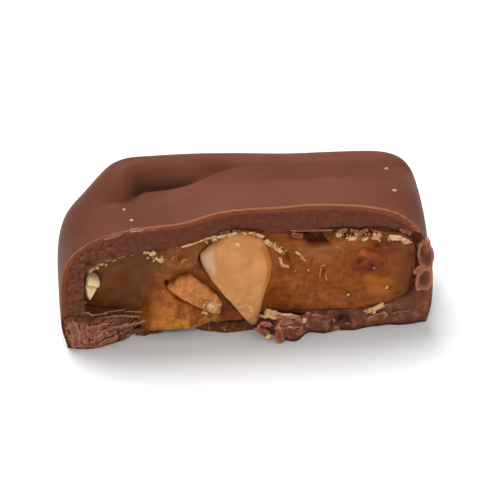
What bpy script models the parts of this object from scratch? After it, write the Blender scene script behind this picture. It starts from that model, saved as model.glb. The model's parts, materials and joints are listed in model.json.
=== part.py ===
"""Half of a chocolate-coated English toffee with almonds, lying on its flat base, cut side to the front.

X runs across the piece, Y from the cut back to the rounded end, and Z up. The origin is on the base,
under the middle of the piece. Sizes are in metres.
"""

from math import exp, radians

import bmesh
import bpy
from mathutils import Vector, noise

MM = 0.001

# The coating's outer size, and the place of the cut along Y
WIDTH = 36.4 * MM
DEPTH = 12.6 * MM
CUT_Y = -5.25 * MM
LEFT_HEIGHT = 13.45 * MM
RIGHT_HEIGHT = 14.5 * MM
BACK_HEIGHT = 13.85 * MM
RIGHT_END_FALL = 0.6 * MM
LEFT_TAPER = 0.7 * MM
LEFT_LEAN = 0.42 * MM

# The skin's section is a superellipse, whose power is higher where its shoulder is tighter
LEFT_POWER = 4.5
RIGHT_POWER = 4.1
BACK_LEFT_POWER = 4.8
BACK_RIGHT_POWER = 9.0

# The side rounds under where it meets the table
TUCK_DEPTH = 0.6 * MM
TUCK_HEIGHT = 1.7 * MM

# The string of chocolate that fell across the top and froze as a fold, round in front, with a hollow at its foot
FOLD_HEIGHT = 1.75 * MM
FOLD_HEAD_X = -8.8 * MM
FOLD_FRONT = 2.8 * MM
FOLD_FRONT_POWER = 3.6
FOLD_BACK_WIDTH = 2.1 * MM
FOOT_HEAD_Y = 7.4 * MM
FOOT_TAIL_Y = 8.3 * MM
HOLLOW_DEPTH = 0.7 * MM
HOLLOW_WIDTH = 1.2 * MM

# The toffee bar inside, and the gap all round it
TOFFEE_LEFT = -15.3 * MM
TOFFEE_RIGHT = 16.5 * MM
TOFFEE_BACK = 9.9 * MM
TOFFEE_BOTTOM = 2.5 * MM
TOFFEE_TOP = 10.8 * MM
TOFFEE_POWER = 4.6
TOFFEE_LOW_LEFT_POWER = 9.0
TOFFEE_SAG = 1.1 * MM
GAP = 0.3 * MM

# The base plate broke away under the middle of the cut and left a chip standing out
BASE_PLATE = TOFFEE_BOTTOM - GAP
BREAK_X = -7.8 * MM
BREAK_DEPTH = 2.7 * MM
BREAK_WIDTH = 3.6 * MM
TIP_BREAK_X = -1.2 * MM
TIP_BREAK_DEPTH = 1.6 * MM
TIP_BREAK_WIDTH = 3.2 * MM
TIP_BREAK_HEIGHT = 0.8 * MM
CHIP_X = 3.9 * MM
CHIP_REACH = 1.8 * MM
CRAG_DEPTH = 0.45 * MM
CRAG_SIZE = 1.9 * MM

# The flake that the knife pushed out of the right wall, in two lobes
FLAKE_X = 17.2 * MM
FLAKE_LOW_Z = 5.8 * MM
FLAKE_HIGH_Z = 8.8 * MM
FLAKE_REACH = 0.7 * MM

# Almond pieces in millimetres: the outline at the cut as (x, z), the face's place along Y, and the depth
LARGE_ALMOND = dict(
    outline=(
        (-4.2, 9.3),
        (-1.6, 11.8),
        (1.4, 11.2),
        (2.5, 8.2),
        (1.7, 4.4),
        (0.8, 1.3),
        (-1.5, 4.2),
        (-3.5, 7.2),
    ),
    heart=(-0.6, 8.0),
    face=-0.8,
    depth=4.2,
)
SMALL_ALMOND = dict(
    outline=((-7.4, 6.3), (-5.6, 7.4), (-4.6, 6.8), (-2.6, 4.5), (-2.8, 2.8), (-5.4, 4.4)),
    heart=(-4.9, 5.2),
    face=-0.5,
    depth=2.4,
)
ALMOND_FRAGMENT = dict(
    outline=((-14.9, 7.3), (-13.8, 6.5), (-14.3, 5.6), (-14.9, 4.6), (-15.3, 6.1)),
    heart=(-14.6, 6.1),
    face=0.8,
    depth=3.6,
)

# Mesh density, as cells across, back and up
COATING_CELLS = (44, 22, 12)
CAVITY_CELLS = (44, 4, 12)
TOFFEE_CELLS = (40, 5, 12)
TOFFEE_ROW_POWER = 1.8
RIM_STEPS = 4
ALMOND_CORNER_STEPS = 3
CREASE_ANGLE = radians(45)

MILK_CHOCOLATE = (0.19, 0.071, 0.045, 1.0)
AMBER_TOFFEE = (0.27, 0.085, 0.018, 1.0)
ROASTED_ALMOND = (0.55, 0.25, 0.09, 1.0)


def clear_scene():
    for obj in list(bpy.data.objects):
        bpy.data.objects.remove(obj, do_unlink=True)


def mix(low, high, share):
    return low + (high - low) * share


def smooth_step(low, high, value):
    """A smooth rise from 0 at low to 1 at high."""
    share = min(1.0, max(0.0, (value - low) / (high - low)))
    return share * share * (3.0 - 2.0 * share)


def bump(value, centre, width, power=2):
    """1 at centre, falling off on both sides, with a flatter top for a higher power."""
    return exp(-(abs((value - centre) / width) ** power))


def pulled_in(a, b, c, power):
    """How far a point of a unit box moves in, so that the box turns into a superellipsoid."""
    reach = max(abs(a), abs(b), abs(c))
    if reach == 0.0:
        return 0.0
    return reach / (abs(a) ** power + abs(b) ** power + abs(c) ** power) ** (1.0 / power)


def tip_break(x):
    """How far the base plate's upper half broke back round the large almond's tip."""
    return TIP_BREAK_DEPTH * bump(x, TIP_BREAK_X, TIP_BREAK_WIDTH, 4)


def base_front(x):
    """Y of the front edge of the base plate's upper side, measured back from the cut."""
    broken = BREAK_DEPTH * bump(x, BREAK_X, BREAK_WIDTH, 3)
    chip = CHIP_REACH * bump(x, CHIP_X, 1.6 * MM, 3)
    left_corner = 0.5 * MM * bump(x, -15.3 * MM, 1.2 * MM)
    right_lip = 0.6 * MM * bump(x, 8.2 * MM, 3.0 * MM)
    return broken + tip_break(x) - chip - left_corner - right_lip


def coating_front(x, z):
    """Y of the coating's cut face, measured back from the cut: craggy low down and flaked at the right."""
    wave = 0.25 * MM * noise.noise(Vector((x, 0.0, z)) / (4.0 * MM))
    crags = CRAG_DEPTH * noise.noise(Vector((x, 5.0 * MM, z)) / CRAG_SIZE)
    lower_lip = tip_break(x) * smooth_step(TIP_BREAK_HEIGHT, 0.0, z)
    above_base = smooth_step(BASE_PLATE, 2.0 * BASE_PLATE, z)
    lobes = max(bump(z, FLAKE_LOW_Z, 1.3 * MM), bump(z, FLAKE_HIGH_Z, 1.3 * MM))
    flake = FLAKE_REACH * lobes * bump(x, FLAKE_X, 0.9 * MM)
    return mix(base_front(x) - lower_lip + crags, wave, above_base) - flake


def fold_relief(x, y):
    """Height of the frozen fold and of the hollow at its foot. Both fade to the right."""
    foot_y = mix(FOOT_HEAD_Y, FOOT_TAIL_Y, smooth_step(-6.0 * MM, 3.0 * MM, x))
    foot_y -= 0.5 * MM * smooth_step(-9.0 * MM, -11.5 * MM, x)
    fading = mix(1.0, 0.15, smooth_step(FOLD_HEAD_X, 7.0 * MM, x)) * smooth_step(-16.0 * MM, -10.8 * MM, x)
    front_share = min(1.0, max(0.0, 1.0 - (y - foot_y) / FOLD_FRONT))
    behind = bump(max(y - foot_y - FOLD_FRONT, 0.0), 0.0, FOLD_BACK_WIDTH)
    fold = FOLD_HEIGHT * fading * behind * (1.0 - front_share**FOLD_FRONT_POWER)
    hollow_fading = mix(1.0, 0.2, smooth_step(-7.0 * MM, 1.0 * MM, x)) * smooth_step(-12.4 * MM, -9.8 * MM, x)
    return fold - HOLLOW_DEPTH * hollow_fading * bump(y, foot_y, HOLLOW_WIDTH if y < foot_y else 0.5 * MM)


def top_height(x, y):
    """Height of the top before its edges are rounded: low at the left of the cut, level at the back."""
    at_cut = mix(LEFT_HEIGHT, RIGHT_HEIGHT, smooth_step(-7.0 * MM, -1.0 * MM, x))
    at_back = BACK_HEIGHT - RIGHT_END_FALL * smooth_step(0.0, 14.0 * MM, x)
    return mix(at_cut, at_back, smooth_step(2.0 * MM, 8.0 * MM, y))


def skin_point(a, b, c):
    """A point of the outer skin. a runs across from -1 to 1, b back and c up from 0 to 1."""
    rightwards = smooth_step(-1.0, 1.0, a)
    front_power = mix(LEFT_POWER, RIGHT_POWER, rightwards)
    back_power = mix(BACK_LEFT_POWER, BACK_RIGHT_POWER, rightwards)
    pull = pulled_in(a, b, c, mix(front_power, back_power, smooth_step(0.0, 0.8, b)))
    across, back, up = a * pull, b * pull, c * pull
    z = up * top_height(across * WIDTH / 2, back * DEPTH)
    tuck = TUCK_DEPTH * bump(z, 0.0, TUCK_HEIGHT)
    narrowing = LEFT_TAPER * back + LEFT_LEAN * smooth_step(11.0 * MM, 3.0 * MM, z) if across < 0.0 else 0.0
    x = across * (WIDTH / 2 - tuck - narrowing)
    y = mix(coating_front(x, z), DEPTH - tuck, back)
    z += fold_relief(x, y) * smooth_step(0.6, 0.95, up)
    return Vector((x, y + CUT_Y, z))


def toffee_front(x, z):
    """Y of the toffee's broken face, back from the cut: hollow at the left, with a lump beside it."""
    hollow = 1.7 * MM * smooth_step(-8.6 * MM, -10.6 * MM, x)
    lump = 0.8 * MM * bump(x, -6.6 * MM, 2.6 * MM, 4) * bump(z, 3.0 * MM, 3.0 * MM)
    dish = 0.5 * MM * bump(x, 9.5 * MM, 5.0 * MM) * bump(z, 7.0 * MM, 3.0 * MM)
    shelf = 0.7 * MM * bump(x, 6.6 * MM, 2.2 * MM, 4) * smooth_step(9.4 * MM, 10.8 * MM, z)
    facets = 0.4 * MM * noise.noise(Vector((x, 3.0 * MM, z)) / (2.6 * MM))
    return 0.35 * MM + hollow - lump + dish + shelf + facets


def plate_level(x, y):
    """Z of the toffee's underside on the base plate, which is thicker at the left than at the right."""
    thicker = 0.5 * MM * smooth_step(-9.5 * MM, -12.5 * MM, x)
    thinner = 0.4 * MM * smooth_step(3.0 * MM, 10.0 * MM, x)
    return TOFFEE_BOTTOM + thicker - thinner


def sagging_level(x, y):
    """Z of the toffee's underside, which sags in front of the broken base plate."""
    clear_of_plate = base_front(x) - CRAG_DEPTH - GAP - y
    return plate_level(x, y) - TOFFEE_SAG * smooth_step(0.0, 0.7 * MM, clear_of_plate)


def toffee_roof(x):
    """Z of the toffee's top side, lower at the left and raised over the large almond."""
    left_slope = 0.9 * MM * smooth_step(-3.0 * MM, -14.0 * MM, x)
    over_almond = 1.2 * MM * bump(x, -0.4 * MM, 3.0 * MM)
    return TOFFEE_TOP - left_slope + over_almond


def bar_point(a, b, c, margin, front_of, floor_of):
    """A point of the toffee, or of the cavity round it. a and c run from -1 to 1, and b from 0 to 1."""
    low_left = smooth_step(-0.2, -0.8, a) * smooth_step(-0.2, -0.8, c)
    pull = pulled_in(a, b, c, mix(TOFFEE_POWER, TOFFEE_LOW_LEFT_POWER, low_left))
    across, back, up = a * pull, b * pull, (c * pull + 1.0) / 2
    x = mix(TOFFEE_LEFT - margin, TOFFEE_RIGHT + margin, (across + 1.0) / 2)
    roof = toffee_roof(x) + margin
    front = front_of(x, mix(TOFFEE_BOTTOM - margin, roof, up))
    y = mix(front, TOFFEE_BACK + margin, back)
    z = mix(floor_of(x, y) - margin, roof, up)
    return Vector((x, y + CUT_Y, z))


def toffee_point(a, b, c):
    return bar_point(a, b, c, 0.0, toffee_front, sagging_level)


def cavity_point(a, b, c):
    return bar_point(a, b, c, GAP, coating_front, plate_level)


def add_box_sides(mesh, cells, place, sides):
    """Adds the named sides of a box lattice, and returns its vertices by their steps."""
    across, back, up = cells
    made = {}

    def vertex(step):
        if step not in made:
            made[step] = mesh.verts.new(place(*(n / count for n, count in zip(step, cells))))
        return made[step]

    lattice = {
        "front": (across, up, lambda p, q: (p, 0, q)),
        "back": (across, up, lambda p, q: (p, back, q)),
        "left": (back, up, lambda p, q: (0, p, q)),
        "right": (back, up, lambda p, q: (across, p, q)),
        "top": (across, back, lambda p, q: (p, q, up)),
        "bottom": (across, back, lambda p, q: (p, q, 0)),
    }
    for side in sides:
        columns, rows, step_at = lattice[side]
        for p in range(columns):
            for q in range(rows):
                corners = ((p, q), (p + 1, q), (p + 1, q + 1), (p, q + 1))
                mesh.faces.new([vertex(step_at(*corner)) for corner in corners])
    return made


def round_steps(columns, rows):
    """The steps once round a rectangle of cells."""
    steps = [(p, 0) for p in range(columns)]
    steps += [(columns, q) for q in range(rows)]
    steps += [(p, rows) for p in range(columns, 0, -1)]
    steps += [(0, q) for q in range(rows, 0, -1)]
    return steps


def bridge(mesh, near_ring, far_ring):
    """Quads between two closed rings of as many vertices."""
    for n, vertex in enumerate(near_ring):
        after = (n + 1) % len(near_ring)
        mesh.faces.new((vertex, near_ring[after], far_ring[after], far_ring[n]))


def object_from(mesh, name, colour, roughness):
    """Turns a closed bmesh into a named object with its own material."""
    bmesh.ops.recalc_face_normals(mesh, faces=mesh.faces)
    data = bpy.data.meshes.new(name)
    mesh.to_mesh(data)
    mesh.free()
    data.shade_smooth()
    data.set_sharp_from_angle(angle=CREASE_ANGLE)
    material = bpy.data.materials.new(name)
    material.use_nodes = True
    shader = material.node_tree.nodes["Principled BSDF"]
    shader.inputs["Base Color"].default_value = colour
    shader.inputs["Roughness"].default_value = roughness
    shader.inputs["Metallic"].default_value = 0.0
    data.materials.append(material)
    obj = bpy.data.objects.new(name, data)
    bpy.context.scene.collection.objects.link(obj)
    return obj


def build_coating():
    """The chocolate as one solid: its skin, flat underside, cavity for the toffee, and cut rim."""
    across, back, up = COATING_CELLS
    mesh = bmesh.new()
    skin = add_box_sides(
        mesh,
        COATING_CELLS,
        lambda i, j, k: skin_point(2 * i - 1, j, k),
        ("left", "right", "top", "back"),
    )
    for i in range(1, across):
        skin[i, 0, 0] = mesh.verts.new(skin_point(2 * i / across - 1, 0.0, 0.0))
    mesh.faces.new([skin[i, j, 0] for i, j in round_steps(across, back)])
    cavity = add_box_sides(
        mesh,
        CAVITY_CELLS,
        lambda i, j, k: cavity_point(2 * i - 1, j, 2 * k - 1),
        ("left", "right", "top", "bottom", "back"),
    )
    outer = [skin[i, 0, k] for i, k in round_steps(across, up)]
    inner = [cavity[i, 0, k] for i, k in round_steps(across, up)]
    near = outer
    for step in range(1, RIM_STEPS):
        far = []
        for start, end in zip(outer, inner):
            point = start.co.lerp(end.co, step / RIM_STEPS)
            point.y = CUT_Y + coating_front(point.x, point.z)
            far.append(mesh.verts.new(point))
        bridge(mesh, near, far)
        near = far
    bridge(mesh, near, inner)
    return object_from(mesh, "chocolate_coating", MILK_CHOCOLATE, 0.42)


def build_toffee():
    """The toffee bar, with its rows closer together behind the broken face."""
    mesh = bmesh.new()
    add_box_sides(
        mesh,
        TOFFEE_CELLS,
        lambda i, j, k: toffee_point(2 * i - 1, j**TOFFEE_ROW_POWER, 2 * k - 1),
        ("front", "back", "left", "right", "top", "bottom"),
    )
    return object_from(mesh, "toffee_bar", AMBER_TOFFEE, 0.3)


def smooth_outline(corners):
    """A closed Catmull-Rom curve through the corners."""
    points = []
    count = len(corners)
    for n in range(count):
        before, start, end, after = (Vector(corners[(n + m) % count]) for m in (-1, 0, 1, 2))
        for step in range(ALMOND_CORNER_STEPS):
            t = step / ALMOND_CORNER_STEPS
            bend = 2 * before - 5 * start + 4 * end - after
            twist = 3 * start - before - 3 * end + after
            points.append((2 * start + (end - before) * t + bend * t**2 + twist * t**3) / 2)
    return points


def nut_rings(extra):
    """Shares of the outline and of the depth, from the flat face, with its worn edge, to the blunt end."""
    face = (0.86, -0.02 - extra)
    end = (0.3, 1.0 + extra)
    return (face, (0.97, 0.04), (1.0, 0.12), (0.88, 0.42), (0.62, 0.78), end)


def build_nut(name, shape, margin=0.0):
    """A piece of almond, broken flat at the cut and rounded behind it, or with a margin its pocket."""
    heart = Vector(shape["heart"])
    outline = smooth_outline(shape["outline"])
    extra = margin / (shape["depth"] * MM)
    mesh = bmesh.new()
    rings = []
    for share, behind in nut_rings(extra):
        ring = []
        for point in outline:
            spoke = point - heart
            flat = heart + spoke * share + spoke.normalized() * (margin / MM)
            y = CUT_Y + (shape["face"] + behind * shape["depth"]) * MM
            ring.append(mesh.verts.new((flat.x * MM, y, flat.y * MM)))
        rings.append(ring)
    mesh.faces.new(rings[0])
    mesh.faces.new(rings[-1])
    for near, far in zip(rings, rings[1:]):
        bridge(mesh, near, far)
    return object_from(mesh, name, ROASTED_ALMOND, 0.6)


def cut_pocket(target, cutter):
    """Takes the cutter's shape out of the target."""
    cutter.hide_render = True
    cutter.display_type = "WIRE"
    pocket = target.modifiers.new(cutter.name, "BOOLEAN")
    pocket.operation = "DIFFERENCE"
    pocket.solver = "EXACT"
    pocket.object = cutter


def main():
    clear_scene()
    build_coating()
    toffee = build_toffee()
    for name, shape in (
        ("almond_large", LARGE_ALMOND),
        ("almond_small", SMALL_ALMOND),
        ("almond_fragment", ALMOND_FRAGMENT),
    ):
        build_nut(name, shape)
        cut_pocket(toffee, build_nut(name + "_pocket", shape, GAP))


main()
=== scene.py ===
"""Looks of half a chocolate-coated English toffee: coating, toffee, almonds, flakes, crumbs and stage.

Shapes are worked out in millimetres, in the part's own frame, and turned into metres in Net.make.
The cut is at the front, X runs across it, and the outer form follows the same rules as the solids.
"""

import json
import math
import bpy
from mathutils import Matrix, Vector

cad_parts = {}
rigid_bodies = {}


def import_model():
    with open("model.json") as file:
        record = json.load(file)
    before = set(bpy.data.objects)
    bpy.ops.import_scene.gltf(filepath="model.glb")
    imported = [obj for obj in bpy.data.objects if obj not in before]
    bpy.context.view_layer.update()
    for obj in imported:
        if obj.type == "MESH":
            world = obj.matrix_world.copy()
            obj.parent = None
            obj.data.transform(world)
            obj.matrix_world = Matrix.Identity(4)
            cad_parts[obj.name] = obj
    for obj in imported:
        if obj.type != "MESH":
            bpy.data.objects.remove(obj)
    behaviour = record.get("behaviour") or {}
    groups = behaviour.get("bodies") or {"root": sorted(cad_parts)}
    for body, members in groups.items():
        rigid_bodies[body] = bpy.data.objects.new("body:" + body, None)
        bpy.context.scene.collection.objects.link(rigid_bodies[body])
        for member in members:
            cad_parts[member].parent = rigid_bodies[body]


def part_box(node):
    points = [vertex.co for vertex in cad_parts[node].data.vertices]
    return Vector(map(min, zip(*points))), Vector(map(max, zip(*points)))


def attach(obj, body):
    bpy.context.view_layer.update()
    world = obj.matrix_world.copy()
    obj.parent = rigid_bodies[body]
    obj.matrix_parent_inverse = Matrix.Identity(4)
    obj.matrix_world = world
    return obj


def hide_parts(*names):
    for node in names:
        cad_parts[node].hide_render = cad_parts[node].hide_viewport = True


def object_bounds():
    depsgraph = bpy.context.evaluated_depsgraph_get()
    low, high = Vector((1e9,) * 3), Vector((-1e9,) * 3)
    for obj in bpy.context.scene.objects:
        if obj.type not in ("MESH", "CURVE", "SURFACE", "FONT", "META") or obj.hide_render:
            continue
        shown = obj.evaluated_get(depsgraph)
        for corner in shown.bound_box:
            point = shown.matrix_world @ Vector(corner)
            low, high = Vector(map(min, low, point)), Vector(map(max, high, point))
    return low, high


bl_info = {
    "name": "English Toffee Half",
    "version": (1, 0, 0),
    "blender": (4, 5, 0),
    "location": "3D View > Sidebar > Toffee",
    "description": "Builds a cut chocolate-coated toffee with almonds, crumbs and a studio stage",
    "category": "Add Mesh",
}

import bmesh
import bpy
import numpy as np
from bpy.props import FloatProperty, FloatVectorProperty, PointerProperty
from mathutils import Matrix, Vector, noise

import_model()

MM = 0.001
CAD_BOX = [list(corner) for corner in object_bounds()]


def box_in_mm(node):
    """The least and greatest corners of a solid's box."""
    low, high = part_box(node)
    return np.array(low) / MM, np.array(high) / MM


CAD_LOW, CAD_HIGH = np.array(CAD_BOX) / MM
BAR_LOW, BAR_HIGH = box_in_mm("toffee_bar")

# Sizes of the coating, as in its solid
DEPTH = 12.6
CUT_Y = box_in_mm("chocolate_coating")[1][1] - DEPTH
HALF_WIDTH = 18.2
LEFT_HEIGHT = 13.45
RIGHT_HEIGHT = 14.5
BACK_HEIGHT = 13.85
RIGHT_END_FALL = 0.6
LEFT_TAPER = 0.7
LEFT_LEAN = 0.42
LEFT_POWER = 4.5
RIGHT_POWER = 4.1
BACK_LEFT_POWER = 4.8
BACK_RIGHT_POWER = 9.0
TUCK_DEPTH = 0.6
TUCK_HEIGHT = 1.7

# The fold on top, with the hollow and the crease along its foot
FOLD_HEIGHT = 1.75
FOLD_HEAD_X = -8.8
CREST_HEAD_Y = 10.1
CREST_TAIL_Y = 11.2
FOLD_FRONT_POWER = 2.1
FOLD_BACK_WIDTH = 2.1
FOOT_HEAD_Y = 6.45
FOOT_TAIL_Y = 8.5
HOLLOW_DEPTH = 0.45
HOLLOW_WIDTH = 1.2
CREASE_DEPTH = 0.45
LIP_HEIGHT = 0.2

# The toffee bar
TOFFEE_LEFT = BAR_LOW[0]
TOFFEE_RIGHT = BAR_HIGH[0]
TOFFEE_BACK = BAR_HIGH[1] - CUT_Y
TOFFEE_BOTTOM = 2.5
TOFFEE_TOP = 10.8
TOFFEE_POWER = 4.6
TOFFEE_LOW_LEFT_POWER = 9.0
TOFFEE_SAG = 1.1
GAP = 0.3

# The broken base plate
BASE_PLATE = TOFFEE_BOTTOM - GAP
BREAK_X = -7.8
BREAK_DEPTH = 2.7
BREAK_WIDTH = 3.6
TIP_BREAK_X = -1.2
TIP_BREAK_DEPTH = 1.6
TIP_BREAK_WIDTH = 3.2
TIP_BREAK_HEIGHT = 0.8
CHIP_X = 3.9
CHIP_REACH = 1.8
CRAG_DEPTH = 0.45
CRAG_SIZE = 1.9
UNDERCUT = 0.7
FOOT_LIP = 0.5

# The flake on the right wall
FLAKE_X = 17.2
FLAKE_LOW_Z = 5.8
FLAKE_HIGH_Z = 8.8
FLAKE_REACH = 0.7

# Almond pieces: the outline at the cut as (x, z), its heart, the face's place along Y, and the depth
LARGE_ALMOND = dict(
    outline=(
        *((-4.2, 9.3), (-1.6, 11.8), (1.4, 11.2), (2.5, 8.2)),
        *((1.7, 4.4), (0.8, 1.3), (-1.5, 4.2), (-3.5, 7.2)),
    ),
    heart=(-0.6, 8.0),
    face=-0.8,
    depth=4.2,
)
SMALL_ALMOND = dict(
    outline=((-7.4, 6.3), (-5.6, 7.4), (-4.6, 6.8), (-2.4, 4.3), (-2.6, 2.6), (-5.4, 4.3)),
    heart=(-4.9, 5.2),
    face=-0.5,
    depth=2.4,
)
ALMOND_FRAGMENT = dict(
    outline=((-14.9, 7.3), (-13.8, 6.5), (-14.3, 5.6), (-14.9, 4.6), (-15.3, 6.1)),
    heart=(-14.6, 6.1),
    face=0.8,
    depth=3.6,
)

# Mesh density, as cells across, back and up
COATING_CELLS = (230, 104, 84)
CAVITY_ROWS = 6
RIM_STEPS = 22
RIM_STEP_POWER = 1.4
TOFFEE_CELLS = (260, 7, 96)
TOFFEE_ROW_POWER = 1.8
BACK_SHARES = (0.75, 0.4)
# What the coating's inner walls carry as their distance from the outer edge, in millimetres
FAR_FROM_EDGE = 3.0

# Multipliers that turn neighbouring numbers into unrelated ones
HASH_ACROSS = 127.1
HASH_UP = 311.7
HASH_NUMBER = 12.9898
HASH_SEED = 78.233
HASH_SPREAD = 43758.5453
HASH_SECOND = 7.31


def mix(low, high, share):
    return low + (high - low) * share


def rise(low, high, value):
    """A smooth rise from 0 at low to 1 at high."""
    share = np.clip((value - low) / (high - low), 0.0, 1.0)
    return share * share * (3.0 - 2.0 * share)


def bump(value, centre, width, power=2):
    """1 at centre, falling off on both sides, with a flatter top for a higher power."""
    return np.exp(-(np.abs((value - centre) / width) ** power))


def grain(x, y, z, size):
    """Smooth noise from about -1 to 1 at points in millimetres, with lumps of the given size."""
    spots = np.stack(np.broadcast_arrays(x, y, z), -1) / size
    values = [noise.noise(spot) for spot in spots.reshape(-1, 3).tolist()]
    return np.array(values).reshape(spots.shape[:-1])


def ridges(x, y, z, size):
    """Noise folded into sharp ridges, 1 on a ridge and 0 far from it."""
    return 1.0 - np.clip(np.abs(grain(x, y, z, size)) * 2.6, 0.0, 1.0)


def pulled_in(a, b, c, power):
    """How far a point of a unit box moves in, so that the box turns into a superellipsoid."""
    reach = np.maximum(np.maximum(np.abs(a), np.abs(b)), np.abs(c))
    spread = (np.abs(a) ** power + np.abs(b) ** power + np.abs(c) ** power) ** (1.0 / power)
    return reach / np.maximum(spread, 1e-9)


def tip_break(x):
    return TIP_BREAK_DEPTH * bump(x, TIP_BREAK_X, TIP_BREAK_WIDTH, 4)


def base_front(x):
    """Y of the front edge of the base plate's upper side, measured back from the cut."""
    broken = BREAK_DEPTH * bump(x, BREAK_X, BREAK_WIDTH, 3)
    chip = CHIP_REACH * bump(x, CHIP_X, 1.6, 3)
    left_corner = 0.5 * bump(x, -15.3, 1.2)
    right_lip = 0.6 * bump(x, 8.2, 3.0)
    return broken + tip_break(x) - chip - left_corner - right_lip


def coating_front(x, z):
    """Y of the coating's cut face, measured back from the cut."""
    wave = 0.25 * grain(x, 0.0, z, 4.0)
    crags = CRAG_DEPTH * grain(x, 5.0, z, CRAG_SIZE)
    lower_lip = tip_break(x) * rise(TIP_BREAK_HEIGHT, 0.0, z)
    above_base = rise(BASE_PLATE, 2.0 * BASE_PLATE, z)
    lobes = np.maximum(bump(z, FLAKE_LOW_Z, 1.3), bump(z, FLAKE_HIGH_Z, 1.3))
    flake = FLAKE_REACH * lobes * bump(x, FLAKE_X, 0.9)
    lip = FOOT_LIP * bump(z, 0.8, 0.7) * rise(2.0, 6.0, x) * rise(17.6, 16.0, x)
    undercut = UNDERCUT * mix(0.2, 1.0, rise(-9.0, -6.0, x)) * mix(1.0, 0.1, rise(2.5, 5.0, x))
    foot = undercut * bump(z, 0.0, 0.45) - lip
    return mix(base_front(x) - lower_lip + crags, wave, above_base) - flake + foot


def fold_foot(x):
    """Y of the foot of the fold, measured back from the cut."""
    return mix(FOOT_HEAD_Y, FOOT_TAIL_Y, rise(-5.5, 0.5, x)) - 1.8 * rise(-8.8, -11.2, x)


def crease_share(x, y):
    """1 in the crease along the foot of the fold, 0 elsewhere."""
    return rise(-10.4, -9.3, x) * rise(-2.6, -6.0, x) * bump(y, fold_foot(x) + 0.15, 0.32)


def slope_share(x, y):
    """1 on the steep front of the fold over the crease, 0 elsewhere. It only places painted shade."""
    return rise(-11.6, -8.2, x) * rise(-3.0, -6.6, x) * bump(y, fold_foot(x) + 0.7, 1.1)


def fold_relief(x, y):
    """Height of the frozen fold, with a crease at its foot and a lip in front. It fades to the right."""
    foot_y = fold_foot(x)
    fading = mix(1.0, 0.22, rise(FOLD_HEAD_X, 7.0, x)) + 0.2 * bump(x, -10.4, 2.0)
    fading = fading * rise(-15.6, -11.4, x)
    crest_y = mix(CREST_HEAD_Y, CREST_TAIL_Y, rise(-6.0, 3.0, x))
    front_share = np.clip((crest_y - y) / (crest_y - foot_y), 0.0, 1.0)
    behind = bump(np.maximum(y - crest_y, 0.0), 0.0, FOLD_BACK_WIDTH)
    fold = FOLD_HEIGHT * fading * behind * (1.0 - front_share**FOLD_FRONT_POWER)
    hollow_fading = mix(1.0, 0.2, rise(-7.0, 1.0, x)) * rise(-12.4, -9.8, x)
    in_front = bump(y, foot_y, HOLLOW_WIDTH)
    hollow = HOLLOW_DEPTH * hollow_fading * np.where(y < foot_y, in_front, front_share**FOLD_FRONT_POWER)
    lip = LIP_HEIGHT * rise(-7.5, -5.0, x) * rise(7.0, 1.0, x) * bump(y, foot_y - 0.55, 0.3)
    return fold - hollow - CREASE_DEPTH * crease_share(x, y) + lip


def top_height(x, y):
    """Height of the top before its edges are rounded: low at the left of the cut, level at the back."""
    at_cut = mix(LEFT_HEIGHT, RIGHT_HEIGHT, rise(-7.0, -1.0, x))
    at_back = BACK_HEIGHT - RIGHT_END_FALL * rise(0.0, 14.0, x)
    return mix(at_cut, at_back, rise(2.0, 8.0, y))


def left_lean(z):
    return LEFT_LEAN * rise(11.0, 3.0, z)


def skin_points(a, b, c):
    """Points of the outer skin. a runs across from -1 to 1, b back and c up from 0 to 1."""
    rightwards = rise(-1.0, 1.0, a)
    front_power = mix(LEFT_POWER, RIGHT_POWER, rightwards)
    back_power = mix(BACK_LEFT_POWER, BACK_RIGHT_POWER, rightwards)
    pull = pulled_in(a, b, c, mix(front_power, back_power, rise(0.0, 0.8, b)))
    across, back, up = a * pull, b * pull, c * pull
    z = up * top_height(across * HALF_WIDTH, back * DEPTH)
    tuck = TUCK_DEPTH * bump(z, 0.0, TUCK_HEIGHT)
    narrowing = np.where(across < 0.0, LEFT_TAPER * back + left_lean(z), 0.0)
    x = across * (HALF_WIDTH - tuck - narrowing)
    y = mix(coating_front(x, z), DEPTH - tuck, back)
    z = z + fold_relief(x, y) * rise(0.6, 0.95, up)
    return np.stack((x, y + CUT_Y, z), -1)


def plate_level(x):
    """Z of the toffee's underside on the base plate, which is thicker at the left than at the right."""
    return TOFFEE_BOTTOM + 0.5 * rise(-9.5, -12.5, x) - 0.4 * rise(3.0, 10.0, x)


def sagging_level(x, y):
    """Z of the toffee's underside, which sags in front of the broken base plate."""
    clear_of_plate = base_front(x) - CRAG_DEPTH - GAP - y
    return plate_level(x) - TOFFEE_SAG * rise(0.0, 0.7, clear_of_plate)


def toffee_roof(x):
    """Z of the toffee's top side, lower at the left and raised over the large almond."""
    return TOFFEE_TOP - 0.9 * rise(-3.0, -14.0, x) + 1.2 * bump(x, -0.4, 3.0)


def toffee_front(x, z):
    """Y of the toffee's broken face, back from the cut: hollow at the left, with a lump beside it."""
    hollow = 1.7 * rise(-7.6, -11.4, x + 0.5 * grain(x, 6.0, z, 3.0) - 0.33 * (z - 6.0))
    lump = 0.8 * bump(x, -6.6, 2.6, 4) * bump(z, 3.0, 3.0)
    dish = 0.5 * bump(x, 9.5, 5.0) * bump(z, 7.0, 3.0)
    shelf = 0.7 * bump(x, 6.6, 2.2, 4) * rise(9.4, 10.8, z)
    lip = 0.55 * rise(2.5, 4.5, x) * rise(4.2, 2.6, z)
    facets = 0.4 * grain(x, 3.0, z, 2.6) * mix(1.0, 0.3, rise(4.2, 2.6, z))
    return 0.35 + hollow - lump + dish + shelf + facets - lip


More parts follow.
